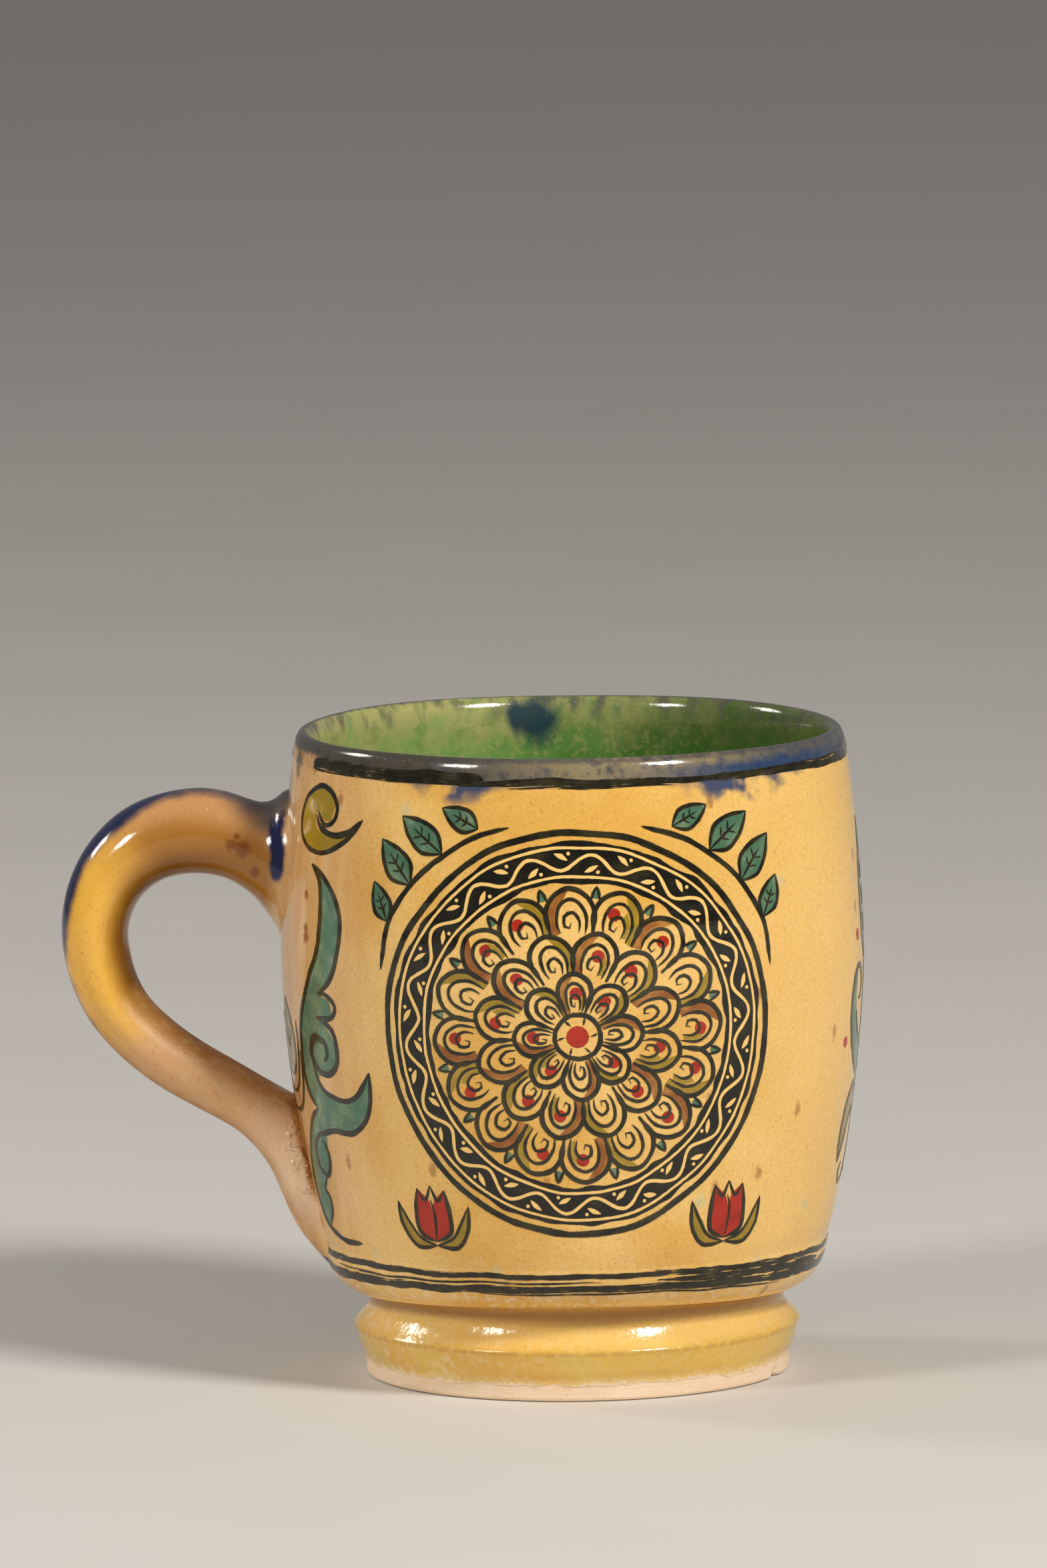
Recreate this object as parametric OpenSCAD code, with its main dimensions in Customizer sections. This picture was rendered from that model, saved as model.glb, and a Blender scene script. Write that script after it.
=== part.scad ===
// A hand-thrown glazed mug: a bellied barrel on a turned ring foot, with a pulled loop handle.
// +Z is up, the handle points along -X, and the origin is the centre of the face it stands on.
// Outside and inside sizes are finished sizes, measured over the glaze.

/* [Barrel] */
// Height of the lip above the table
mug_h = 98; // [92:0.5:112]
// Diameter at the belly, the widest place
belly_d = 88; // [82:0.5:98]
// Height of the belly above the table
belly_z = 65; // [56:0.5:72]
// Diameter at the foot of the lip
rim_d = 83.6; // [78:0.2:90]
// Height of the rounded lip
lip_h = 4; // [3:0.25:6]
// Thickness of the wall at the foot of the lip
lip_t = 3.4; // [2.8:0.1:4.4]
// Thickness of the wall at the belly
wall_t = 4.2; // [3.4:0.1:5.5]
// Thickness of the wall where it curves into the floor
low_wall_t = 5; // [4:0.1:6.5]
// Thickness of the floor
floor_t = 5; // [4:0.1:8]
// Height of the curve between the floor and the wall
cove_h = 10; // [7:0.5:14]
// Width of the curve between the floor and the wall
cove_w = 13; // [9:0.5:18]
// Diameter at the heel, where the wall starts to turn under
heel_d = 76.4; // [72:0.2:82]
// Height of the heel above the foot joint
heel_h = 9; // [7.5:0.1:12]
// How far the blunt edge under the heel stands out from the waist
edge_out = 2.5; // [1.5:0.1:4]
// Height of the blunt edge above the foot joint
edge_h = 1.4; // [1:0.1:2.4]

/* [Foot] */
// Height of the foot ring
foot_h = 11.4; // [10:0.2:15]
// Diameter of the waist at the foot joint
waist_d = 62.8; // [58:0.2:64.4]
// Height of the plain stretch of the waist below the joint, and above it
waist_h = 0.4; // [0.2:0.1:0.8]
// How far the turned bead stands out from the waist
bead_out = 2.3; // [1.6:0.1:4]
// Height of the bead's crest above the table
bead_z = 7.6; // [6.4:0.1:8.6]
// Half the height of the bead's rounded crest
bead_round = 0.9; // [0.8:0.1:1.2]
// How far the bare clay at the table stands out from the waist
base_out = 0.6; // [0.2:0.1:1.4]
// Width of the ring that the mug stands on
ring_w = 6; // [4:0.2:10]
// Bevel on the edges of the standing ring
base_bevel = 0.6; // [0.2:0.1:1.2]
// Height of the bare clay below the glaze
bare_h = 2.4; // [1.4:0.1:4]

/* [Handle] */
// How far the outside of the handle stands out from the belly
handle_out = 33.4; // [28:0.2:40]
// Drop from the lip to the top of the handle
handle_drop = 8.8; // [7.5:0.1:14]
// Height of the end of the tail above the foot joint
tail_h = 5.5; // [4.5:0.1:10]
// Thickness of the handle at its outermost bend
handle_t = 10.2; // [8:0.1:12]
// Width of the handle across its back
handle_w = 14; // [10:0.1:18]

/* [Glaze and slip] */
// Thickness of each glaze coat
glaze_t = 0.4; // [0.3:0.05:0.7]
// Thickness of the slip that joins two clay pieces
slip_t = 0.6; // [0.5:0.05:1]

/* [Hidden] */

// How finely round shapes and curves are divided
$fn = 96;
curve_steps = 6;
lip_steps = 5;
ring_sides = 22;
knot_steps = 2;

// Control points of each curve of the section, as shares of the way from its start to its end,
// outwards and upwards: foot first, then up the outside, over the lip and down the inside
flank_shares = [[0.1, 0.35], [1, 1 - bead_round / (bead_z - bare_h)]];
neck_shares = [[0, bead_round / (foot_h - waist_h - bead_z)], [0.98, 0.68]];
under_shares = [[0, 0.35], [0.6, 0.8]];
heel_shares = [[0.98, 0.22], [0.95, 0.93]];
low_wall_shares = [[0.466, 0.161], [1, 0.705]];
high_wall_shares = [[0, 0.272], [0.427, 0.72]];
outer_lip_shares = [[0.1, 0.55], [0.38, 1]];
inner_lip_shares = [[0.62, 0], [0.97, 0.45]];
inside_high_shares = [[0.5, 0.28], [1, 0.73]];
inside_low_shares = [[0, 0.3], [0.5, 0.82]];
cove_shares = [[0.16, 0.56], [0.42, 1]];
// Share of the lip's thickness that lies outside its crest
crest_share = 0.5;

// The handle from the upper root round the loop to the tail. Each row has four shares: how far
// its middle line stands off the wall, how high it is, its thickness and its width.
loop_shares = [
    [-0.145, 0.907, 2.65, 1.57],
    [-0.01, 0.912, 2.3, 1.4],
    [0.035, 0.922, 1.96, 1.26],
    [0.102, 0.939, 1.61, 1.14],
    [0.184, 0.962, 1.4, 1.09],
    [0.32, 0.99, 1.3, 1.06],
    [0.488, 1, 1.28, 1.04],
    [0.68, 0.985, 1.235, 1.035],
    [0.825, 0.948, 1.18, 1.03],
    [0.942, 0.882, 1.1, 1.015],
    [1, 0.79, 1.03, 1],
    [0.982, 0.7, 0.99, 0.985],
    [0.924, 0.614, 0.95, 0.97],
    [0.813, 0.539, 0.93, 0.96],
    [0.615, 0.46, 0.91, 0.945],
    [0.382, 0.397, 0.875, 1.04],
    [0.21, 0.348, 0.865, 1.18],
    [0.032, 0.275, 1.1, 1.36],
    [-0.011, 0.181, 0.96, 1.5],
    [-0.032, 0.106, 0.88, 1.42],
    [-0.057, 0.032, 0.56, 1.2],
    [-0.078, -0.014, 0.34, 0.85]
];
// The way that the outside of the handle faces at each row, in degrees above level
facing = [90, 90, 90, 90, 90, 90, 88, 71, 58, 39, 17, -7, -18, -34, -53, -58, -58, -42, -25, -28, -35, -40];
// The rows at the top of the arch and on the lower limb, between which the loop is clear of the wall
arch_row = 6;
limb_row = 15;

// Radii and heights
belly_r = belly_d / 2;
rim_r = rim_d / 2;
heel_r = heel_d / 2;
waist_r = waist_d / 2;
base_r = waist_r + base_out;
edge_r = waist_r + edge_out;
bead_r = waist_r + bead_out;
body_z = foot_h + slip_t;
floor_z = body_z + floor_t;
lip_z = mug_h - lip_h;

// Corners of the section
bare_edge = [base_r + glaze_t, bare_h];
bead = [bead_r, bead_z];
waist_low = [waist_r, foot_h - waist_h];
waist_seat = [waist_r, foot_h];
waist_over = [waist_r, body_z];
waist_high = [waist_r, body_z + waist_h];
edge = [edge_r, body_z + edge_h];
heel = [heel_r, body_z + heel_h];
belly = [belly_r, belly_z];
rim = [rim_r, lip_z];
crest = [rim_r - lip_t * crest_share, mug_h];
mouth = [rim_r - lip_t, lip_z];
inside_belly = [belly_r - wall_t, belly_z];
floor_centre = [0, floor_z];

function toward(a, b, shares) = [for (k = [0:1]) a[k] + (b[k] - a[k]) * shares[k]];
function cubic(a, b, c, d, t) =
    a * pow(1 - t, 3) + 3 * b * pow(1 - t, 2) * t + 3 * c * (1 - t) * t * t + d * pow(t, 3);
// The points of a curve from a to b, without a itself
function bend(a, b, shares, steps = curve_steps) =
    [for (i = [1:steps]) cubic(a, toward(a, b, shares[0]), toward(a, b, shares[1]), b, i / steps)];

// The finished skin, from the edge of the bare clay up the outside and down to the floor's centre
foot_line = concat(
    [bare_edge],
    bend(bare_edge, bead, flank_shares, lip_steps),
    bend(bead, waist_low, neck_shares)
);
under_line = concat([waist_seat, waist_over, waist_high], bend(waist_high, edge, under_shares, lip_steps));
wall_line = concat(
    bend(edge, heel, heel_shares),
    bend(heel, belly, low_wall_shares, 2 * curve_steps),
    bend(belly, rim, high_wall_shares)
);
lip_line = concat(
    bend(rim, crest, outer_lip_shares, lip_steps),
    bend(crest, mouth, inner_lip_shares, lip_steps)
);
wall_table = [for (p = concat([edge], wall_line)) [p[1], p[0]]];
function wall_r(z) = lookup(z, wall_table);
cove_top = [wall_r(floor_z + cove_h) - low_wall_t, floor_z + cove_h];
cove_end = [cove_top[0] - cove_w, floor_z];
inside_line = concat(
    bend(mouth, inside_belly, inside_high_shares),
    bend(inside_belly, cove_top, inside_low_shares),
    bend(cove_top, cove_end, cove_shares),
    [floor_centre]
);
skin = concat(foot_line, under_line, wall_line, lip_line, inside_line);

// Places along the skin where one coat or piece ends
seat_i = len(foot_line);
over_i = seat_i + 1;
edge_i = seat_i + len(under_line) - 1;
rim_i = edge_i + len(wall_line);
mouth_i = rim_i + len(lip_line);
last_i = len(skin) - 1;

function across(d) = [d[1], -d[0]] / norm(d);
function out_of(i) = across(skin[min(i + 1, last_i)] - skin[max(i - 1, 0)]);
// The skin from one place to another, at a depth under it, and the same line run backwards
function line_at(depth, from, to) = [for (i = [from:to]) skin[i] - depth * out_of(i)];
function back_at(depth, from, to) = [for (i = [to:-1:from]) skin[i] - depth * out_of(i)];

// The handle's middle line: each knot is its distance from the axis, height, thickness, width
// and facing
loop_out = handle_out - handle_t / 2;
tail_z = body_z + tail_h;
loop_rise = mug_h - handle_drop - handle_t * loop_shares[arch_row][2] / 2 - tail_z;
function knot(s, z, turn) = [wall_r(z) + s[0] * loop_out, z, s[2] * handle_t, s[3] * handle_w, turn];
knots = [
    for (i = [0:len(loop_shares) - 1])
        knot(loop_shares[i], tail_z + loop_shares[i][1] * loop_rise, facing[i])
];
last_knot = len(knots) - 1;
function smooth(a, b, c, d, t) =
    (2 * b + (c - a) * t + (2 * a - 5 * b + 4 * c - d) * t * t + (3 * b - a - 3 * c + d) * pow(t, 3)) / 2;
loop = concat(
    [
        for (i = [0:last_knot - 1]) for (k = [0:knot_steps - 1])
            let (before = knots[max(i - 1, 0)], after = knots[min(i + 2, last_knot)])
                smooth(before, knots[i], knots[i + 1], after, k / knot_steps)
    ],
    [knots[last_knot]]
);
last_ring = len(loop) - 1;
upper_ring = arch_row * knot_steps;
lower_ring = limb_row * knot_steps;

// One oval ring of the handle, at a depth under the finished skin
function ring(i, depth) = [
    for (j = [0:ring_sides - 1])
        let (
            a = -360 * j / ring_sides,
            rise = (loop[i][2] / 2 - depth) * cos(a),
            y = (loop[i][3] / 2 - depth) * sin(a)
        )
        [-(loop[i][0] + rise * cos(loop[i][4])), y, loop[i][1] + rise * sin(loop[i][4])]
];
// Triangles between ring m and the next of a stack, which start at point number base
function band(m, base) = [
    for (j = [0:ring_sides - 1])
        let (
            a = base + m * ring_sides + j,
            b = base + m * ring_sides + (j + 1) % ring_sides,
            c = a + ring_sides,
            d = b + ring_sides
        )
        each [[a, b, d], [a, d, c]]
];
function turned_round(faces) = [for (f = faces) [f[2], f[1], f[0]]];

// A solid stretch of the handle, at a depth under its finished skin
module roll(depth, from, to) {
    count = to - from + 1;
    points = [for (i = [from:to]) each ring(i, depth)];
    sides = [for (m = [0:count - 2]) each band(m, 0)];
    start = [for (j = [ring_sides - 1:-1:0]) j];
    end = [for (j = [0:ring_sides - 1]) (count - 1) * ring_sides + j];
    polyhedron(points, concat(sides, [start], [end]));
}

// The skin of the handle, open at both ends
module roll_skin(depth) {
    count = last_ring + 1;
    inner = count * ring_sides;
    points = [for (d = [0, depth]) for (i = [0:last_ring]) each ring(i, d)];
    outer_faces = [for (m = [0:count - 2]) each band(m, 0)];
    inner_faces = [for (m = [0:count - 2]) each band(m, inner)];
    start = [
        for (j = [0:ring_sides - 1]) let (k = (j + 1) % ring_sides)
            each [[k, j, inner + j], [k, inner + j, inner + k]]
    ];
    tip = inner - ring_sides;
    end = [for (f = start) [f[2] + tip, f[1] + tip, f[0] + tip]];
    polyhedron(points, concat(outer_faces, turned_round(inner_faces), start, end));
}

module turned(points) {
    rotate_extrude() polygon(points);
}

// A coat of glaze on the skin from one place to another
module coat(from, to) {
    turned(concat(line_at(0, from, to), back_at(glaze_t, from, to)));
}

// The barrel filled solid, at a depth under its finished skin
module plug(depth) {
    side = line_at(depth, edge_i, rim_i);
    turned(concat([[0, side[0][1]]], side, [[0, side[len(side) - 1][1]]]));
}

// Slip between the barrel's clay and a stretch of the handle
module wall_slip(from, to) {
    intersection() {
        roll(glaze_t, from, to);
        difference() {
            plug(glaze_t - slip_t);
            plug(glaze_t);
        }
    }
}

module barrel() {
    color("burlywood") turned(concat(line_at(glaze_t, over_i, last_i), [[0, body_z]]));
}

ring_in = base_r - ring_w;
ring_top_in = waist_r - glaze_t - ring_w;
module foot_ring() {
    stand = [
        [ring_in, base_bevel], [ring_in + base_bevel, 0],
        [base_r - base_bevel, 0], [base_r, base_bevel]
    ];
    color("antiquewhite") turned(concat(stand, line_at(glaze_t, 0, seat_i), [[ring_top_in, foot_h]]));
}

module handle() {
    color("tan") difference() {
        roll(glaze_t, 0, last_ring);
        plug(glaze_t - slip_t);
    }
}

module foot_slip_joint() {
    joint_r = waist_r - glaze_t;
    section = [[ring_top_in, foot_h], [joint_r, foot_h], [joint_r, body_z], [ring_top_in, body_z]];
    color("bisque") turned(section);
}

module upper_slip_joint() {
    color("bisque") wall_slip(0, upper_ring);
}

module lower_slip_joint() {
    color("bisque") wall_slip(lower_ring, last_ring);
}

module lining_glaze() {
    color("olivedrab") coat(mouth_i, last_i);
}

module rim_glaze() {
    color("darkslateblue") coat(rim_i, mouth_i);
}

module barrel_glaze() {
    color("navajowhite") difference() {
        coat(edge_i, rim_i);
        roll(glaze_t, 0, upper_ring);
        roll(glaze_t, lower_ring, last_ring);
    }
}

module foot_glaze() {
    color("goldenrod") coat(0, edge_i);
}

module handle_glaze() {
    color("peru") difference() {
        roll_skin(glaze_t);
        plug(0);
    }
}

barrel();
foot_ring();
handle();
foot_slip_joint();
upper_slip_joint();
lower_slip_joint();
lining_glaze();
rim_glaze();
barrel_glaze();
foot_glaze();
handle_glaze();
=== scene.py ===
import math

import bmesh
import bpy
from bpy.props import FloatProperty, FloatVectorProperty, PointerProperty
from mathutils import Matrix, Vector, noise


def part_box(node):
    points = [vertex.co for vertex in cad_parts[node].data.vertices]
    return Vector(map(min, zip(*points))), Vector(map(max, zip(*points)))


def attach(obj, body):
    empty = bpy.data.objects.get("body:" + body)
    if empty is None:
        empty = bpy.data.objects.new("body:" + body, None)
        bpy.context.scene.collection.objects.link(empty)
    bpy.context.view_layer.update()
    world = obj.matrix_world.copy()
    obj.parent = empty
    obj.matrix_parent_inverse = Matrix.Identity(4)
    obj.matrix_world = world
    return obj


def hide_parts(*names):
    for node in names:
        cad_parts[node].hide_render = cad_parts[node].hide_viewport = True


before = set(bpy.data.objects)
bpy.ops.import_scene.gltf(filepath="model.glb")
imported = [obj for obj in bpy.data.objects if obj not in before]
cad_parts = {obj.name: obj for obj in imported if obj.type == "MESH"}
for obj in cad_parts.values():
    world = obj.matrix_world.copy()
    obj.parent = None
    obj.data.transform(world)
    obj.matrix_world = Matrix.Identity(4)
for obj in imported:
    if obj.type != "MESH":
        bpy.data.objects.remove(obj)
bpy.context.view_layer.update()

bl_info = {
    "name": "Glazed Clay Mug",
    "version": (1, 0, 0),
    "blender": (4, 5, 0),
    "location": "3D View > Sidebar > Mug",
    "description": "Dresses a hand-thrown mug in clay, glaze and brush painting",
    "category": "Add Mesh",
}

MM = 0.001
BODY = "root"

# Radius in millimetres at which the painting is unrolled
PAINT_RADIUS = 43.5
# Points that lie closer than this are merged
MERGE = 0.001 * MM
# Steps round the mug for the clay barrel, for the glaze and bare foot, and for the glaze on the foot
CLAY_STEPS = 128
GLAZE_STEPS = 220
FOOT_STEPS = 300


# Sizes and colours

def length(label, note, mm):
    """A length property whose default is written in millimetres."""
    return FloatProperty(name=label, description=note, default=mm * MM, unit="LENGTH", precision=5)


def framed(label, note, metres):
    """A length property whose default is read from the loaded frame."""
    return FloatProperty(name=label, description=note, default=metres, unit="LENGTH", precision=5)


def angle(label, note, degrees):
    """An angle property whose default is written in degrees."""
    return FloatProperty(name=label, description=note, default=math.radians(degrees), subtype="ANGLE")


def colour(label, note, red, green, blue):
    """A colour property in linear light."""
    return FloatVectorProperty(
        name=label, description=note, default=(red, green, blue, 1), size=4, min=0, max=1, subtype="COLOR"
    )


class MugSizes(bpy.types.PropertyGroup):
    """Finished sizes, measured over the glaze."""

    height: framed("Height", "Height of the lip above the table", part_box("rim_glaze")[1].z)
    belly: framed("Belly radius", "Radius at the widest place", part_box("barrel_glaze")[1].x)
    belly_z: length("Belly height", "Height of the widest place", 65)
    rim: framed("Rim radius", "Radius at the foot of the lip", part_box("rim_glaze")[1].x)
    lip_h: length("Lip height", "Height of the rounded lip", 4)
    lip_t: length("Lip thickness", "Wall at the foot of the lip", 3.4)
    wall_t: length("Wall", "Wall at the belly", 4.2)
    low_wall_t: length("Low wall", "Wall where it curves into the floor", 5)
    floor_t: length("Floor", "Thickness of the floor", 5)
    cove_h: length("Cove height", "Height of the curve between floor and wall", 10)
    cove_w: length("Cove width", "Width of the curve between floor and wall", 13)
    heel: length("Heel radius", "Radius where the wall starts to turn under", 38.2)
    heel_h: length("Heel height", "Height of the heel above the foot joint", 9)
    edge_out: length("Edge relief", "How far the edge under the heel stands out from the waist", 2.5)
    edge_h: length("Edge height", "Height of that edge above the foot joint", 1.4)
    foot_h: framed("Foot height", "Height of the foot ring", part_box("foot_ring")[1].z)
    joint: framed("Joint radius", "Radius of the foot joint under the glaze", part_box("foot_slip_joint")[1].x)
    joint_z: framed("Joint height", "Top of the foot joint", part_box("foot_slip_joint")[1].z)
    waist_h: length("Waist height", "Plain stretch below and above the foot joint", 0.4)
    bead_out: length("Bead relief", "How far the bead stands out from the waist", 2.3)
    bead_z: length("Bead height", "Height of the bead's crest", 7.6)
    bead_round: length("Bead rounding", "Half the height of the rounded crest", 0.5)
    base_out: length("Base relief", "How far the base stands out from the waist", 0.6)
    base_bevel: length("Base bevel", "Bevel on the edges of the standing ring", 0.6)
    ring_w: length("Ring width", "Width of the standing ring", 6)
    bare_h: length("Bare clay", "Height of the bare clay below the glaze", 2.4)
    glaze: length("Glaze", "Thickness of a glaze coat", 0.4)
    handle_out: length("Handle reach", "How far the handle stands out from the belly", 33.4)
    handle_drop: length("Handle drop", "Drop from the lip to the top of the handle", 8.8)
    tail_h: length("Tail height", "End of the handle's tail above the foot joint", 5.5)
    handle_t: length("Handle thickness", "Thickness at the outermost bend", 10.2)
    handle_w: length("Handle width", "Width across the back", 14)
    paint_r: length("Painting radius", "Radius at which painted lengths are measured", PAINT_RADIUS)


class MugColours(bpy.types.PropertyGroup):
    """Colours of the clay, the glazes and the brush paints."""

    clay: colour("Clay", "Bare fired clay", 0.86, 0.67, 0.48)
    clay_warm: colour("Warm clay", "Clay flushed by the fire", 0.74, 0.49, 0.30)
    honey: colour("Honey", "Glaze on the barrel", 0.78, 0.44, 0.09)
    cream: colour("Cream", "Thin, pale honey glaze", 0.90, 0.585, 0.19)
    peach: colour("Peach", "Glaze over pink clay by the handle", 0.60, 0.33, 0.13)
    streak: colour("Streak", "Pale runs by the handle", 0.74, 0.48, 0.24)
    rust: colour("Rust", "Iron spots", 0.28, 0.085, 0.012)
    rust_deep: colour("Deep rust", "Iron spots on the handle", 0.20, 0.052, 0.003)
    speck: colour("Turquoise", "Stray copper specks", 0.36, 0.55, 0.40)
    pale: colour("Pale bloom", "Thin glaze at the foot", 0.86, 0.66, 0.38)
    ochre: colour("Ochre", "Glaze on the foot", 0.76, 0.455, 0.09)
    ochre_green: colour("Green ochre", "Copper-tinged glaze on the foot", 0.73, 0.51, 0.12)
    # Orange brown is also painted shade in the foot's groove under the heel and in the crease between the tail
    # and the wall
    orange: colour("Orange brown", "Thick glaze in grooves and along edges", 0.40, 0.155, 0.010)
    gold: colour("Gold", "Glaze on the handle's bend", 0.84, 0.45, 0.055)
    tan: colour("Tan", "Glaze on the handle's arch", 0.34, 0.14, 0.022)
    # Amber inside the loop is partly thick glaze and partly painted shade, as the loop's inner side lies in
    # shade
    amber: colour("Amber", "Thick glaze inside the loop", 0.12, 0.036, 0.001)
    limb: colour("Limb", "Pink glaze on the handle's lower limb", 0.68, 0.385, 0.18)
    tail: colour("Tail", "Thin pink glaze on the handle's tail", 0.84, 0.575, 0.37)
    green: colour("Green", "Lining", 0.145, 0.29, 0.07)
    # Painted light: the lit left side of the lining, which faces the key lamp
    green_lit: colour("Light green", "Lining where it is thin and bright", 0.26, 0.42, 0.12)
    # Deep green is real variation in the lining and also painted shade on its right; it is laid darker towards
    # the bottom
    green_deep: colour("Deep green", "Pooled lining", 0.055, 0.175, 0.03)
    # Painted shade: the darkest part of the lining's right side, which faces away from the key lamp
    green_shade: colour("Dark green", "Lining where it pools darkest", 0.018, 0.05, 0.006)
    yellow: colour("Yellow", "Lining where it runs thin", 0.45, 0.41, 0.15)
    cobalt: colour("Cobalt", "Thick blue", 0.008, 0.013, 0.06)
    blue: colour("Blue", "Blue on the lip", 0.018, 0.05, 0.13)
    blot: colour("Blot", "Blue run inside", 0.012, 0.04, 0.065)
    smoke: colour("Smoke", "Grey-blue wash", 0.06, 0.058, 0.062)
    sand: colour("Sand", "Worn blue on the lip", 0.27, 0.215, 0.115)
    black: colour("Black", "Brush black", 0.007, 0.006, 0.003)
    black_thin: colour("Thin black", "Brush black where it runs dry", 0.040, 0.034, 0.012)
    teal: colour("Teal", "Wash on the scrolls", 0.062, 0.155, 0.088)
    teal_pale: colour("Pale teal", "Watered teal", 0.21, 0.30, 0.18)
    olive: colour("Olive", "Yellow-green wash", 0.30, 0.195, 0.011)
    olive_pale: colour("Pale olive", "Watered olive", 0.46, 0.285, 0.036)
    brown: colour("Brown", "Red-brown wash", 0.26, 0.08, 0.012)
    brown_pale: colour("Pale brown", "Watered brown", 0.50, 0.23, 0.05)
    red: colour("Red", "Red marks", 0.44, 0.022, 0.007)
    red_deep: colour("Deep red", "Thick red", 0.27, 0.008, 0.003)
    table: colour("Floor", "Plain pale floor", 0.62, 0.60, 0.57)


class MugStage(bpy.types.PropertyGroup):
    """Camera and light."""

    azimuth: angle("Azimuth", "Turn of the camera round the mug", 2.5)
    elevation: angle("Elevation", "Height of the camera above level", 7.3)
    roll: angle("Roll", "Turn of the camera about its own axis", -0.83)
    distance: length("Distance", "Camera to mug", 2400)
    view_h: length("View height", "Height of the frame at the mug", 236.8)
    aim_x: length("Aim across", "Middle of the frame, across", -7)
    aim_z: length("Aim up", "Middle of the frame, upwards", 89.3)
    light_distance: length("Light distance", "Lamps to mug", 1500)


def sizes():
    """The mug's sizes, in metres."""
    return bpy.context.scene.mug_sizes


def tint(name):
    """One of the mug's colours."""
    return tuple(getattr(bpy.context.scene.mug_colours, name))


# Curves and the outline of the mug

def smoothstep(low, high, value):
    """0 at low, 1 at high and smooth between; low may be the larger."""
    t = min(max((value - low) / (high - low), 0.0), 1.0)
    return t * t * (3 - 2 * t)


def fade(low, high, metres):
    """A smoothstep whose ends are written in millimetres."""
    return smoothstep(low * MM, high * MM, metres)


def around(out, turn, z):
    """A place at a distance from the mug's axis, a turn from the front and a height."""
    return Vector((out * math.sin(turn), -out * math.cos(turn), z))


def cubic(a, b, c, d, t):
    """A place on the curve from a to d that b and c pull."""
    return a * (1 - t) ** 3 + b * (3 * (1 - t) ** 2 * t) + c * (3 * (1 - t) * t * t) + d * t ** 3


def bend(start, end, shares, steps):
    """Points of a curve after its start; the shares place its two control points between the ends."""
    b, c = (Vector(a + (e - a) * s for a, e, s in zip(start, end, share)) for share in shares)
    return [cubic(start, b, c, end, i / steps) for i in range(1, steps + 1)]


def eased(a, b, c, d, t):
    """A place between b and c on a smooth line through all four."""
    bow = (2 * a - 5 * b + 4 * c - d) * t * t
    twist = (3 * b - a - 3 * c + d) * t ** 3
    return (2 * b + (c - a) * t + bow + twist) / 2


def lengths_along(line):
    """How far along a line each of its points lies."""
    far = [0.0]
    for a, b in zip(line, line[1:]):
        far.append(far[-1] + (b - a).length)
    return far


def through(points, step, closed=False):
    """A smooth line through the points, with a point about every step."""
    points = [Vector(p) for p in points]
    count = len(points)
    spans = count if closed else count - 1
    line = []
    for i in range(spans):
        if closed:
            a, b, c, d = (points[(i + k) % count] for k in (-1, 0, 1, 2))
        else:
            a, b, c, d = (points[min(max(i + k, 0), count - 1)] for k in (-1, 0, 1, 2))
        pieces = max(1, round((c - b).length / step))
        line += [eased(a, b, c, d, k / pieces) for k in range(pieces)]
    line.append(points[0].copy() if closed else points[-1])
    return line


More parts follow.
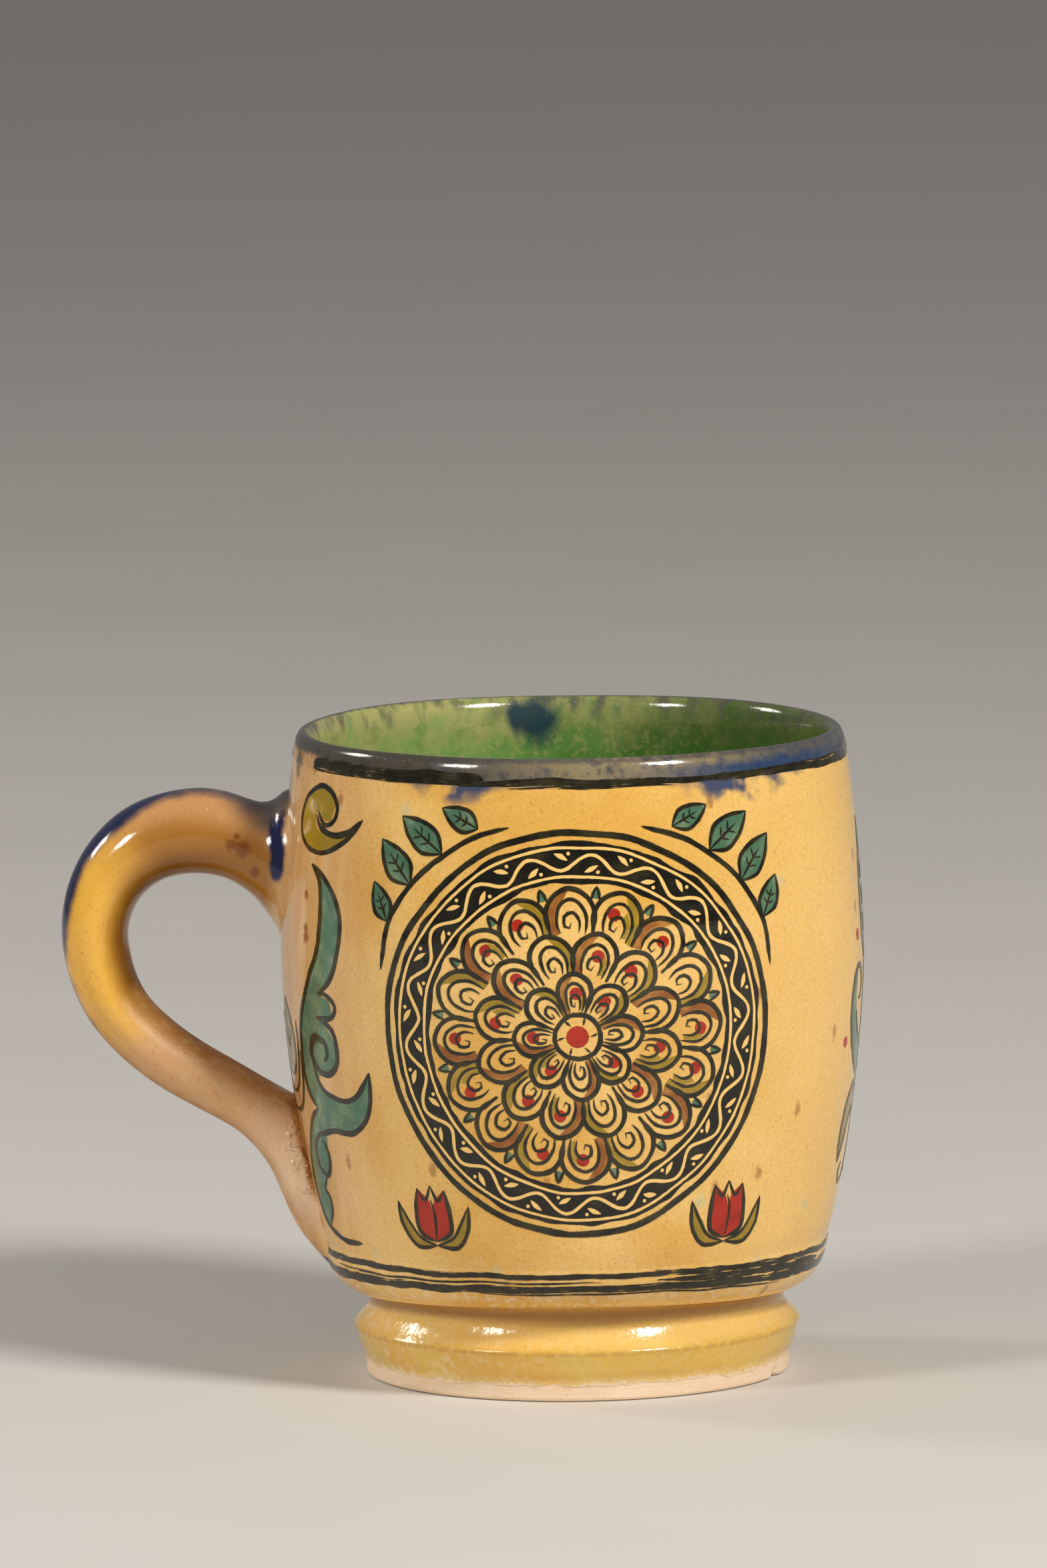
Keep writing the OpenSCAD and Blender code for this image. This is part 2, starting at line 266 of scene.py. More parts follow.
class Outline:
    """The finished outline of the mug as (radius, height) points, from the bare clay up the outside,
    over the lip and down to the middle of the floor."""

    def __init__(self, s):
        waist = s.joint + s.glaze
        floor = s.joint_z + s.floor_t
        lip = s.height - s.lip_h
        self.base = waist + s.base_out
        bare = Vector((self.base + s.glaze, s.bare_h))
        bead = Vector((waist + s.bead_out, s.bead_z))
        waist_low = Vector((waist, s.foot_h - s.waist_h))
        waist_high = Vector((waist, s.joint_z + s.waist_h))
        edge = Vector((waist + s.edge_out, s.joint_z + s.edge_h))
        heel = Vector((s.heel, s.joint_z + s.heel_h))
        belly = Vector((s.belly, s.belly_z))
        rim = Vector((s.rim, lip))
        crest = Vector((s.rim - s.lip_t / 2, s.height))
        mouth = Vector((s.rim - s.lip_t, lip))
        inside = Vector((s.belly - s.wall_t, s.belly_z))
        bead_low = 1 - s.bead_round / (bead.y - bare.y)
        bead_high = s.bead_round / (waist_low.y - bead.y)

        skin = [bare]
        skin += bend(bare, bead, ((0.1, 0.35), (1, bead_low)), 16)
        skin += bend(bead, waist_low, ((0, bead_high), (0.98, 0.68)), 18)
        self.seat = len(skin)
        skin += [Vector((waist, s.foot_h)), Vector((waist, s.joint_z)), waist_high]
        skin += bend(waist_high, edge, ((0, 0.35), (0.6, 0.8)), 10)
        self.edge = len(skin) - 1
        skin += bend(edge, heel, ((0.98, 0.22), (0.95, 0.93)), 18)
        skin += bend(heel, belly, ((0.466, 0.161), (1, 0.705)), 44)
        skin += bend(belly, rim, ((0, 0.272), (0.427, 0.72)), 30)
        self.rim = len(skin) - 1
        skin += bend(rim, crest, ((0.1, 0.55), (0.38, 1)), 14)
        skin += bend(crest, mouth, ((0.62, 0), (0.97, 0.45)), 14)
        self.mouth = len(skin) - 1
        self.wall = skin[self.edge:self.rim + 9]
        cove_z = floor + s.cove_h
        cove_top = Vector((self.radius(cove_z) - s.low_wall_t, cove_z))
        cove_end = Vector((cove_top.x - s.cove_w, floor))
        skin += bend(mouth, inside, ((0.05, 0.3), (1, 0.73)), 26)
        skin += bend(inside, cove_top, ((0, 0.3), (0.5, 0.82)), 28)
        skin += bend(cove_top, cove_end, ((0.16, 0.56), (0.42, 1)), 20)
        steps = 8
        skin += [Vector((cove_end.x * (1 - i / steps), floor)) for i in range(1, steps + 1)]
        self.skin = skin

    def radius(self, z):
        """Radius of the outer wall at a height."""
        for low, high in zip(self.wall, self.wall[1:]):
            if z <= high.y:
                return low.x + (high.x - low.x) * (z - low.y) / (high.y - low.y)
        return self.wall[-1].x

    def outward(self, i):
        """The way that the skin faces at one of its points."""
        ahead = self.skin[min(i + 1, len(self.skin) - 1)] - self.skin[i]
        behind = self.skin[i] - self.skin[max(i - 1, 0)]
        way = ahead.normalized() + behind.normalized()
        return Vector((way.y, -way.x)).normalized()

    def under(self, i, depth):
        """The place at a depth under one of the skin's points."""
        place = self.skin[i] - self.outward(i) * depth
        return Vector((max(place.x, 0.0), place.y))

    def below(self, places, depth):
        """The line at a depth under some of the skin's points, without the loops of sharp bends."""
        line, last = [], None
        for i in places:
            place = self.under(i, depth)
            if not line or (place - line[-1]).dot(self.skin[i] - self.skin[last]) > 0:
                line.append(place)
                last = i
        return line

    def on_wall(self, u, v, lift):
        """A painted point: u millimetres round from the front, v up, lifted off the glaze."""
        z = v * MM
        turn = u * MM / sizes().paint_r
        slope = (self.radius(z + MM) - self.radius(z - MM)) / (2 * MM)
        flat = Vector((1, -slope)).normalized() * lift
        out = self.radius(z)
        return thrown(around(out, turn, z)) + around(flat.x, turn, flat.y)


# How far hands, wheel and kiln moved the clay: the slow swell and its size, the finger rings and their
# pitch, and the lip
SWELL = 0.13 * MM
SWELL_SIZE = 24 * MM
FINGER_RING = 0.016 * MM
FINGER_PITCH = 3.3 * MM
LIP_WANDER = 0.3 * MM
# Millimetres by which the waist is raised at the front, and by which it is lowered all round
WAIST_RISE = 1.4
WAIST_SINK = 0.2


def thrown(point, rings=1.0):
    """A point after hands, wheel and kiln: a slow wobble, faint finger rings, an uneven lip and a waist
    that was cut higher at the front."""
    x, y, z = point
    out = math.hypot(x, y)
    if out < MM:
        return point
    turn = math.atan2(x, -y)
    swell = SWELL * noise.noise(point / SWELL_SIZE)
    ring = FINGER_RING * rings * math.sin(math.tau * z / FINGER_PITCH + turn) * fade(14, 20, z)
    push = (swell + ring) * fade(2, 8, z) * fade(1, 9, out) / out
    lip = LIP_WANDER * noise.noise(Vector((1.3 * math.sin(turn), 1.3 * math.cos(turn), 0.4)))
    lip *= fade(84, 97, z)
    waist = (WAIST_RISE * max(0.0, math.cos(turn)) ** 2 - WAIST_SINK) * MM * fade(26, 31, out)
    waist *= fade(8.2, 12.4, z) * fade(21, 15, z)
    return Vector((x * (1 + push), y * (1 + push), z + lip + waist))


# Modelling steps

def named(piece, name):
    """Names an object and its mesh."""
    piece.name = name
    piece.data.name = name
    return piece


def new_mesh(name):
    """A new mesh object at the origin with one small plane in it, in edit mode."""
    bpy.ops.object.select_all(action="DESELECT")
    bpy.ops.mesh.primitive_plane_add(size=MM)
    piece = named(bpy.context.object, name)
    bpy.ops.object.mode_set(mode="EDIT")
    bpy.ops.mesh.select_mode(type="VERT")
    return piece


def spun(name, section, closed, steps):
    """Draws a section corner by corner, spins it round the mug's axis and closes its seam."""
    piece = new_mesh(name)
    bpy.ops.mesh.merge(type="CENTER")
    here = Vector((0, 0, 0))
    for i, point in enumerate(section):
        there = Vector((point.x, 0, point.y))
        if i:
            bpy.ops.mesh.extrude_region_move(TRANSFORM_OT_translate={"value": there - here})
        else:
            bpy.ops.transform.translate(value=there)
        here = there
    if closed:
        drawn = bmesh.from_edit_mesh(piece.data)
        drawn.verts.ensure_lookup_table()
        drawn.verts[0].select_set(True)
        drawn.verts[-1].select_set(True)
        bpy.ops.mesh.edge_face_add()
    bpy.ops.mesh.select_all(action="SELECT")
    bpy.ops.mesh.spin(steps=steps, angle=math.tau, center=(0, 0, 0), axis=(0, 0, 1))
    bpy.ops.mesh.select_all(action="SELECT")
    bpy.ops.mesh.remove_doubles(threshold=MERGE)
    bpy.ops.mesh.normals_make_consistent(inside=False)
    bpy.ops.object.mode_set(mode="OBJECT")
    return piece


def reshape(piece, change):
    """Moves every point of a piece."""
    for vertex in piece.data.vertices:
        vertex.co = change(vertex.co.copy())


def modified(piece, kind, **settings):
    """Adds a modifier, sets it and applies it."""
    bpy.context.view_layer.objects.active = piece
    bpy.ops.object.modifier_add(type=kind)
    modifier = piece.modifiers[-1]
    for key, value in settings.items():
        setattr(modifier, key, value)
    bpy.ops.object.modifier_apply(modifier=modifier.name)


def smoothed(piece, degrees=35):
    """Smooth shading that keeps the sharp edges."""
    bpy.ops.object.select_all(action="DESELECT")
    piece.select_set(True)
    bpy.context.view_layer.objects.active = piece
    bpy.ops.object.shade_smooth_by_angle(angle=math.radians(degrees))


def finished(piece, finish, slot, *nodes):
    """Gives a piece its finish and its place in the frame."""
    piece.data.materials.clear()
    piece.data.materials.append(finish)
    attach(piece, BODY)
    if nodes:
        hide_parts(*nodes)
    return piece


def coat_section(outline, first, last, thickness, thin=None):
    """The section of a coat of glaze, its underside first; thin gives the depth of its surface at each
    point."""
    every = range(first, last + 1)
    outer = [outline.under(i, thin(i) if thin else 0.0) for i in every]
    kept = [i for i in every if (i - first) % 3 == 0 or i == last]
    return outline.below(reversed(kept), thickness) + outer


# Shader maths

# Index of refraction of glaze, clay and floor
IOR = 1.5


class Wire:
    """An output of a shader node. Arithmetic on it adds Math nodes."""

    def __init__(self, tree, socket=None):
        self.tree = tree
        self.socket = socket

    def node(self, kind, settings=None, inputs=None, output=0):
        """Adds a node: its settings first, then the values or links of its sockets."""
        made = self.tree.nodes.new(kind)
        for key, value in (settings or {}).items():
            setattr(made, key, value)
        for key, value in (inputs or {}).items():
            if isinstance(value, Wire):
                self.tree.links.new(value.socket, made.inputs[key])
            else:
                made.inputs[key].default_value = value
        return Wire(self.tree, made.outputs[output] if made.outputs else None)

    def math(self, operation, first, second=0.0):
        """Adds a Math node."""
        return self.node("ShaderNodeMath", {"operation": operation}, {0: first, 1: second})

    def __add__(self, other):
        return self.math("ADD", self, other)

    def __radd__(self, other):
        return self.math("ADD", other, self)

    def __sub__(self, other):
        return self.math("SUBTRACT", self, other)

    def __rsub__(self, other):
        return self.math("SUBTRACT", other, self)

    def __mul__(self, other):
        return self.math("MULTIPLY", self, other)

    def __rmul__(self, other):
        return self.math("MULTIPLY", other, self)

    def __truediv__(self, other):
        return self.math("DIVIDE", self, other)

    def __neg__(self):
        return self.math("MULTIPLY", self, -1.0)

    def __abs__(self):
        return self.math("ABSOLUTE", self)

    def larger(self, other):
        """The larger of two values."""
        return self.math("MAXIMUM", self, other)

    def smaller(self, other):
        """The smaller of two values."""
        return self.math("MINIMUM", self, other)

    def step(self, low, high):
        """0 below low, 1 above high and smooth between; low may be the larger."""
        return self.node(
            "ShaderNodeMapRange",
            {"interpolation_type": "SMOOTHSTEP"},
            {"Value": self, "From Min": low, "From Max": high},
        )

    def bump(self, middle, half):
        """1 at the middle, falling smoothly to 0 at half its width."""
        return abs(self - middle).step(half, 0.0)


class Surface:
    """A new material with its coordinates in millimetres, and the patterns that the glazes share."""

    def __init__(self, name):
        self.material = bpy.data.materials.new(name)
        self.material.use_nodes = True
        self.material.node_tree.nodes.clear()
        self.w = Wire(self.material.node_tree)
        metres = self.w.node("ShaderNodeTexCoord", output="Object")
        self.at = self.stretched(metres, 1000, 1000, 1000)
        self.x, self.y, self.z = self.parts(self.at)
        self.turn = self.w.math("ARCTAN2", self.x, -self.y)
        self.flat = self.w.node("ShaderNodeCombineXYZ", None, {0: self.turn * PAINT_RADIUS, 1: self.z})

    def stretched(self, vector, x, y, z):
        """A vector with each of its parts multiplied."""
        return self.w.node("ShaderNodeVectorMath", {"operation": "MULTIPLY"}, {0: vector, 1: (x, y, z)})

    def moved(self, vector, offset):
        """A vector with the same offset added to each of its parts."""
        return self.w.node("ShaderNodeVectorMath", {"operation": "ADD"}, {0: vector, 1: (offset,) * 3})

    def parts(self, vector):
        """The three parts of a vector."""
        split = self.w.node("ShaderNodeSeparateXYZ", None, {0: vector}).socket.node
        return [Wire(self.w.tree, out) for out in split.outputs]

    def carried(self, name):
        """The three numbers that a piece's own attribute carries."""
        return self.parts(self.w.node("ShaderNodeAttribute", {"attribute_name": name}, output="Vector"))

    def noise(self, size, detail=2.0, vector=None, offset=0.0):
        """Soft noise from 0 to 1 whose blots are about size millimetres across."""
        place = self.at if vector is None else vector
        if offset:
            place = self.moved(place, offset)
        sockets = {"Vector": place, "Scale": 1.0 / size, "Detail": detail}
        return self.w.node("ShaderNodeTexNoise", None, sockets)

    def runs(self, size, stretch=7.0, detail=2.0, offset=0.0):
        """Noise drawn out downwards, as glaze runs."""
        return self.noise(size, detail, self.stretched(self.at, 1, 1, 1 / stretch), offset)

    def spots(self, spacing, size, share, stretch=1.0, offset=0.0, core=0.3):
        """Ragged spots strewn over the unrolled barrel; share is how many of the places have one, and a
        small or negative core makes them soft."""
        place = self.moved(self.stretched(self.flat, 1, 1 / stretch, 1), offset)
        settings = {"voronoi_dimensions": "2D"}
        cell = self.w.node("ShaderNodeTexVoronoi", settings, {"Vector": place, "Scale": 1.0 / spacing})
        chance = self.parts(Wire(self.w.tree, cell.socket.node.outputs["Color"]))[0]
        ragged = cell * spacing + (self.noise(size * 0.6, 3) - 0.5) * (size * 1.2)
        return ragged.step(size, size * core) * chance.step(1 - share, 1 - share + 0.02)

    def near(self, x, y, z, size):
        """1 at a place, falling to 0 at a ragged distance from it."""
        ends = {0: self.at, 1: (x, y, z)}
        apart = self.w.node("ShaderNodeVectorMath", {"operation": "DISTANCE"}, ends, "Value")
        return (apart + (self.noise(size * 0.6) - 0.5) * size).step(size, size * 0.3)

    def mix(self, share, first, second):
        """Between two colours."""
        return self.w.node("ShaderNodeMix", {"data_type": "RGBA"}, {0: share, 6: first, 7: second}, 2)

    def over(self, tone, share, name):
        """A tone with a share of one of the mug's colours laid over it."""
        return self.mix(share, tone, tint(name))

    def spotted(self, tone, places, share, name):
        """A tone with ragged spots of a colour at some places."""
        for x, y, z, size in places:
            tone = self.over(tone, self.near(x, y, z, size) * share, name)
        return tone

    def honey(self):
        """The barrel's glaze: honey and cream, paler on the right as painted light from the key lamp, peach by
        the handle, with spots, runs and bloom.
        """
        cloud = self.noise(17, 3).step(0.36, 0.68)
        tone = self.mix(cloud, tint("honey"), tint("cream"))
        # Painted light: paler cream on the barrel's right, the side that faces the key lamp
        tone = self.over(tone, self.x.step(10, 42) * 0.85, "cream")
        by_handle = self.x.step(-20, -41) * self.z.step(12, 30)
        pink = self.mix(self.runs(3.2, 5, 4).step(0.3, 0.75), tint("peach"), tint("streak"))
        tone = self.mix(by_handle * 0.9, tone, pink)
        grain = self.noise(0.55, 2).step(0.25, 0.75)
        tone = self.over(tone, grain * 0.16, "orange")
        dust = self.noise(0.34, 1, offset=7).step(0.63, 0.72)
        tone = self.over(tone, dust * 0.38, "rust")
        bloom = self.z.step(25, 15) * self.noise(1.1, 4, offset=3).step(0.5, 0.62)
        tone = self.over(tone, bloom * 0.6, "pale")
        tone = self.over(tone, self.spots(9, 0.95, 0.3, 1.7, 2) * 0.6, "rust")
        tone = self.over(tone, self.spots(12, 1.7, 0.24, 1.1, 11, -0.5) * 0.6, "speck")
        places = self.turn.bump(0.7, 0.45) + self.turn.bump(-0.38, 0.3) * 0.8 + self.turn.bump(2.4, 0.4)
        level = self.z - 94.6 + 4.6 * self.noise(4.2, 2.5, offset=1).step(0.26, 0.66) * places
        return self.over(tone, level.step(-0.9, 1.9) * 0.95, "blue")

    def lining(self):
        """The glaze inside: green, yellow towards the lip, with blue runs and one dark blot, painted light on
        its left and painted shade on its right.
        """
        tone = self.mix(self.noise(12, 3).step(0.35, 0.7), tint("green"), tint("green_deep"))
        tone = self.over(tone, self.z.step(84, 40) * 0.5, "green_deep")
        # Painted light: lighter green on the lining's left, which faces the key lamp
        tone = self.over(tone, self.x.step(-6, -24) * 0.8, "green_lit")
        # Painted shade: darker green and less yellow towards the lining's right, which faces away from the key
        # lamp
        tone = self.over(tone, self.x.step(-10, 34) * 0.6, "green_deep")
        high = (self.z + (self.noise(5, 5, offset=9) - 0.5) * 20).step(88.5, 98.5)
        tone = self.over(tone, high * (0.62 + 0.26 * self.x.step(-2, -20)), "yellow")
        fleck = self.noise(0.9, 4).step(0.5, 0.64) * self.z.step(74, 90)
        tone = self.over(tone, fleck * 0.4, "yellow")
        drift = self.noise(2.4, 4, offset=5).step(0.5, 0.66) * self.z.step(86, 94)
        tone = self.over(tone, drift * 0.32, "green_deep")
        # Painted shade: the lining's right side at its darkest
        tone = self.over(tone, self.x.step(-10, 30) * 0.72, "green_shade")
        fall = self.runs(2.8, 3, 5, 4).step(0.38, 0.72)
        tone = self.over(tone, (self.z - 97.4 + 4.8 * fall).step(-0.5, 5.0) * 0.75, "smoke")
        high_place = self.x.bump(-7.5, 10) * self.z.bump(95.6, 4.4)
        place = high_place + self.x.bump(-6.8, 6) * self.z.bump(92.6, 4.8) * 0.9
        ragged = place * self.y.step(8, 26) + (self.runs(2.0, 2, 5, 1) - 0.5) * 1.3
        tone = self.over(tone, ragged.step(0.15, 1.1) * place.step(0.0, 0.4) * 0.95, "blot")
        dust = self.noise(0.4, 1).step(0.66, 0.74)
        return self.over(tone, dust * 0.35, "green_deep")

    def cobalt_by_handle(self):
        """Where the blue stroke of the handle washes over its upper root and runs down beside it."""
        close = self.x.step(-54, -47.5) * self.x.step(-37, -41)
        across, up = self.y * 0.115, (self.z - 89) * 0.2
        wash = close * (across * across + up * up + (self.noise(3, 3) - 0.5) * 0.5).step(1.3, 0.2)
        width = abs(self.x + 44.0 + (self.noise(3, 3) - 0.5) * 1.5)
        tip = self.w.math("POWER", ((self.z - 75.6) * 0.4).larger(0.0), 0.5)
        drip = (tip.smaller(1.0) * 1.15 - width).step(-0.5, 0.35) * self.y.step(-4, -7)
        return wash, drip * self.z.step(90, 86) * self.z.step(75.4, 76.6)

    def gathered(self):
        """Lumps of glaze that ran together, as a height."""
        return self.noise(1.5, 1, offset=6).step(0.42, 0.72) * 8

    def made(self, base, rough, bumps, bump_mm, specular=0.5):
        """Ends the material: colour, roughness and a fine relief."""
        relief = self.w.node("ShaderNodeBump", None, {"Distance": bump_mm * MM, "Height": bumps})
        shader = self.w.node(
            "ShaderNodeBsdfPrincipled",
            None,
            {
                "Base Color": base,
                "Roughness": rough,
                "Normal": relief,
                "IOR": IOR,
                "Specular IOR Level": specular,
            },
        )
        self.w.node("ShaderNodeOutputMaterial", None, {"Surface": shader})
        return self.material

    def glazed(self, base, dull=0.0, relief=0.055, lumps=0.0):
        """Ends a glaze: glossy, with faint orange peel, pin pricks and lumps where it gathers."""
        rough = 0.07 + 0.10 * self.noise(5, 3, offset=5) + dull
        peel = self.noise(2.6, 2) * 0.7 + self.noise(0.5, 2) * 0.16
        pricks = self.noise(0.45, 1, offset=4).step(0.7, 0.8)
        return self.made(base, rough, peel - pricks * 0.4 + lumps, relief)


# Iron spots on the wall and on the handle, and the dark blot by the handle's root as it crosses from the
# lip to the wall: place and size in millimetres
WALL_SPOTS = ((-39.0, -19.8, 70.4, 1.2), (-39.0, -19.8, 69.0, 1.3), (-39.0, -19.6, 75.4, 1.0))
HANDLE_SPOTS = (
    (-49.2, -7.3, 80.7, 1.8), (-51.0, -7.3, 81.3, 1.2), (-47.4, -7.3, 77.2, 1.1), (-50.0, -7.3, 82.6, 0.8),
)
WALL_BLOT = (-40.6, -11.2, 93.8, 2.4)
LIP_BLOT = (-40.4, -11.2, 94.5, 3.0)


def clay_finish():
    """Bare fired clay with turning lines, sand and a warm flush."""
    s = Surface("fired_clay")
    flush = s.noise(9, 3).step(0.4, 0.75)
    tone = s.mix(flush * 0.3, tint("clay"), tint("clay_warm"))
    lines = s.noise(0.5, 2, s.stretched(s.at, 0.04, 0.04, 1))
    tone = s.over(tone, lines.step(0.55, 0.8) * 0.3, "clay_warm")
    tone = s.over(tone, s.noise(0.3, 1).step(0.62, 0.72) * 0.3, "orange")
    stain = s.z.step(1.0, 3.2) * s.noise(2.2, 3).step(0.45, 0.65)
    tone = s.over(tone, stain * 0.3, "ochre")
    return s.made(tone, 0.72 + 0.15 * s.noise(2), lines + s.noise(0.35, 2) * 0.6, 0.06, 0.3)


def barrel_finish():
    """Honey glaze with the handle's blue where it runs over."""
    s = Surface("honey_glaze")
    wash, drip = s.cobalt_by_handle()
    tone = s.mix(wash * 0.75, s.honey(), tint("smoke"))
    tone = s.over(tone, drip, "cobalt")
    tone = s.spotted(tone, [WALL_BLOT], 0.8, "black_thin")
    tone = s.spotted(tone, WALL_SPOTS, 0.9, "rust")
    # Orange beside the tail is partly glaze gathered in the crease and partly painted shade there
    beside = (abs(s.y) + (s.noise(2.0, 3) - 0.5) * 1.4).bump(9.6, 1.5) * s.x.step(-34, -38)
    beside = beside * s.z.step(43, 39) * s.z.step(27.5, 30.5)
    tone = s.over(tone, beside * 0.8, "orange")
    return s.glazed(tone, lumps=beside * s.gathered())


def lining_finish():
    """Green lining."""
    s = Surface("green_lining")
    return s.glazed(s.lining())


def lip_finish():
    """Blue over the lip: dark at the left, worn at the front, bluest at the right, bare by the handle."""
    s = Surface("cobalt_lip")
    tone = s.mix(s.noise(3, 4).step(0.4, 0.75) * 0.6, tint("smoke"), tint("blue"))
    right = s.turn.bump(0.85, 0.85) + s.turn.bump(2.5, 0.5) + s.turn.bump(-2.2, 0.5)
    worn = s.turn.bump(0.3, 0.78) * 0.9 + s.turn.bump(-2.9, 0.8) * 0.6 + 0.22
    tone = s.over(tone, worn * s.noise(2.0, 4, offset=2).step(0.25, 0.55), "sand")
    low = (s.z + (s.noise(2.2, 4) - 0.5) * 2.6).step(97.4, 95.8)
    tone = s.over(tone, (right * low).smaller(1.0) * 0.95, "blue")
    tone = s.over(tone, s.noise(1.6, 4, offset=6).step(0.6, 0.72) * 0.6, "cobalt")
    crest = s.z.step(97.2, 97.85) * s.noise(1.5, 3).step(0.2, 0.5)
    tone = s.over(tone, crest * 0.7, "smoke")
    left = s.turn.step(-0.05, -0.6) * s.turn.step(-1.9, -1.5)
    tone = s.over(tone, left * 0.5, "black_thin")
    level = s.z + (s.noise(1.3, 3) - 0.5) * 1.0
    band = s.turn.step(-0.2, -0.6) * s.turn.step(-1.14, -1.07) * level.step(96.1, 95.4)
    tone = s.over(tone, band * 0.92, "black")
    gap = s.turn.step(-1.07, -1.14) * s.turn.step(-1.62, -1.5)
    tone = s.over(tone, gap * level.step(96.7, 95.5) * 0.9, "peach")
    tone = s.over(tone, s.noise(0.35, 1).step(0.62, 0.72) * 0.45, "black_thin")
    tone = s.spotted(tone, [LIP_BLOT], 0.9, "black_thin")
    out = s.w.math("SQRT", s.x * s.x + s.y * s.y) + (s.noise(1.5, 3) - 0.5) * 0.7
    return s.glazed(s.mix(out.step(40.0, 39.4), tone, s.lining()))


def foot_finish():
    """Ochre on the foot: brown in the groove, partly painted shade under the heel, cream on the flare,
    greenish below the bead.
    """
    s = Surface("ochre_foot")
    tone = s.mix(s.noise(14, 2).step(0.42, 0.62) * 0.7, tint("ochre"), tint("ochre_green"))
    tone = s.over(tone, s.z.step(7.7, 9.2) * 0.55, "cream")
    bloom = s.noise(1.3, 5).step(0.46, 0.8)
    tone = s.over(tone, bloom * (0.3 + 0.62 * s.x.step(0, -28)), "pale")
    # Orange in the groove is partly thick glaze and partly painted shade under the heel
    tone = s.over(tone, s.z.bump(13.0, 2.2) * 0.8, "orange")
    arris = s.z.bump(7.5, 0.7) * s.noise(1.2, 3).step(0.25, 0.6)
    tone = s.over(tone, arris * 0.4, "orange")
    level = s.z + (s.noise(6, 2, offset=3) - 0.5) * 2.2 + (s.noise(0.7, 5) - 0.5) * 2.4
    tone = s.over(tone, level.step(4.0, 2.5) * 0.5, "pale")
    bare = level.step(2.85, 2.35)
    tone = s.over(tone, bare * 0.9, "clay")
    tone = s.over(tone, s.noise(0.32, 1).step(0.66, 0.74) * 0.35, "rust")
    return s.glazed(tone, 0.02 + 0.4 * bare, 0.2)


def handle_finish():
    """Gold round the bend, tan on the arch, amber and painted shade inside, pink down the limb, blue along the
    back, painted shade in the crease by the tail.
    """
    s = Surface("amber_handle")
    along, back, off_wall = s.carried("roll")
    drift = s.noise(9, 3) - 0.5
    tone = s.mix(s.noise(11, 3).step(0.35, 0.65) * 0.3, tint("gold"), tint("honey"))
    arch = (along + drift * 0.08).step(0.44, 0.32)
    tone = s.over(tone, arch * 0.95, "tan")
    crown = arch * (back + drift * 0.4).step(0.1, 0.8)
    tone = s.over(tone, crown * 0.5, "limb")
    limb = (along + drift * 0.14).step(0.55, 0.67)
    pink = s.mix(along.step(0.72, 0.84), tint("limb"), tint("tail"))
    pink = s.over(pink, (s.z + drift * 5).step(27, 19) * 0.7, "honey")
    tone = s.mix(limb * 0.95, tone, pink)
    # Amber on the loop's inner side is partly pooled glaze and partly painted shade
    inner = (-back + (s.noise(6, 3) - 0.5) * 0.25).step(0.05, 0.9) * along.step(0.2, 0.42)
    tone = s.over(tone, inner * (1 - limb * 0.75) * 0.95, "amber")
    edges = back.step(0.5, 0.95) * along.step(0.38, 0.46) * s.noise(4, 3).step(0.2, 0.6)
    tone = s.over(tone, edges * 0.6, "orange")
    # Orange along the limb's inner edge by the wall is partly thick glaze and partly painted shade in the
    # crease
    seams = back.step(-0.45, -0.92) * limb * s.noise(3, 3).step(0.2, 0.6) * s.z.step(33, 38)
    tone = s.over(tone, seams * 0.75, "orange")
    cloud = s.noise(1.6, 4, offset=3).step(0.5, 0.66)
    tone = s.over(tone, cloud * limb * 0.3, "streak")
    dust = s.noise(0.35, 1, offset=7).step(0.62, 0.72)
    tone = s.over(tone, dust * 0.4, "rust")
    tone = s.spotted(tone, HANDLE_SPOTS, 0.85, "rust_deep")
    tone = s.mix(off_wall.step(3.0, 0.6) * along.step(0.5, 0.3) * 0.9, tone, s.honey())
    width = along.bump(0.385, 0.09) * 0.24 + along.bump(0.47, 0.07) * 0.2 + 0.06
    stroke = (width - 1 + back + (s.noise(4, 3) - 0.5) * 0.2).step(-0.13, 0.1) * along.step(0.66, 0.57)
    tone = s.over(tone, stroke, "cobalt")
    blot = along.bump(0.12, 0.1) * (back + (s.noise(3, 3) - 0.5) * 0.3).step(0.4, 0.7)
    tone = s.over(tone, blot * 0.85, "smoke")
    wash, drip = s.cobalt_by_handle()
    tone = s.over(tone, wash * 0.85, "smoke")
    tone = s.over(tone, drip, "cobalt")
    # Orange in the crease between tail and wall is partly thick glaze and partly painted shade
    crease = off_wall.step(1.3, 0.3) * s.z.step(47, 42) * s.z.step(27, 30)
    tone = s.over(tone, crease * 0.85, "orange")
    end = (s.z + (s.noise(2.5, 3) - 0.5) * 0.8).bump(17.4, 1.1)
    tone = s.over(tone, end.step(0.1, 0.45) * 0.92, "black")
    satin = along.step(0.53, 0.6) * off_wall.step(2.2, 4.0)
    gathering = off_wall.step(3.2, 1.6) * s.z.step(41, 37) * s.z.step(27.5, 30)
    return s.glazed(tone, 0.34 * satin, lumps=gathering * s.gathered())


def paint_finish(name, deep, thin, streaks, dry):
    """Brush paint under the glaze: tone by the load of the brush, with bare streaks where it ran dry."""
    s = Surface(name)
    along, across, half = s.carried("brush")
    load = s.noise(3.2, 3, offset=8)
    hair = s.w.node("ShaderNodeCombineXYZ", None, {0: along * 0.2, 1: across * half * 4, 2: half})
    bristle = s.noise(1, 2, hair)
    tone = s.mix((load * 0.6 + bristle * 0.4 * streaks).step(0.38, 0.68), tint(deep), tint(thin))
    if dry:
        bare = (bristle + abs(across) * 0.16 + (load - 0.5) * 0.4).step(0.76, 0.82)
        tone = s.mix(bare * dry, tone, s.honey())
    return s.glazed(tone)


# Brush strokes

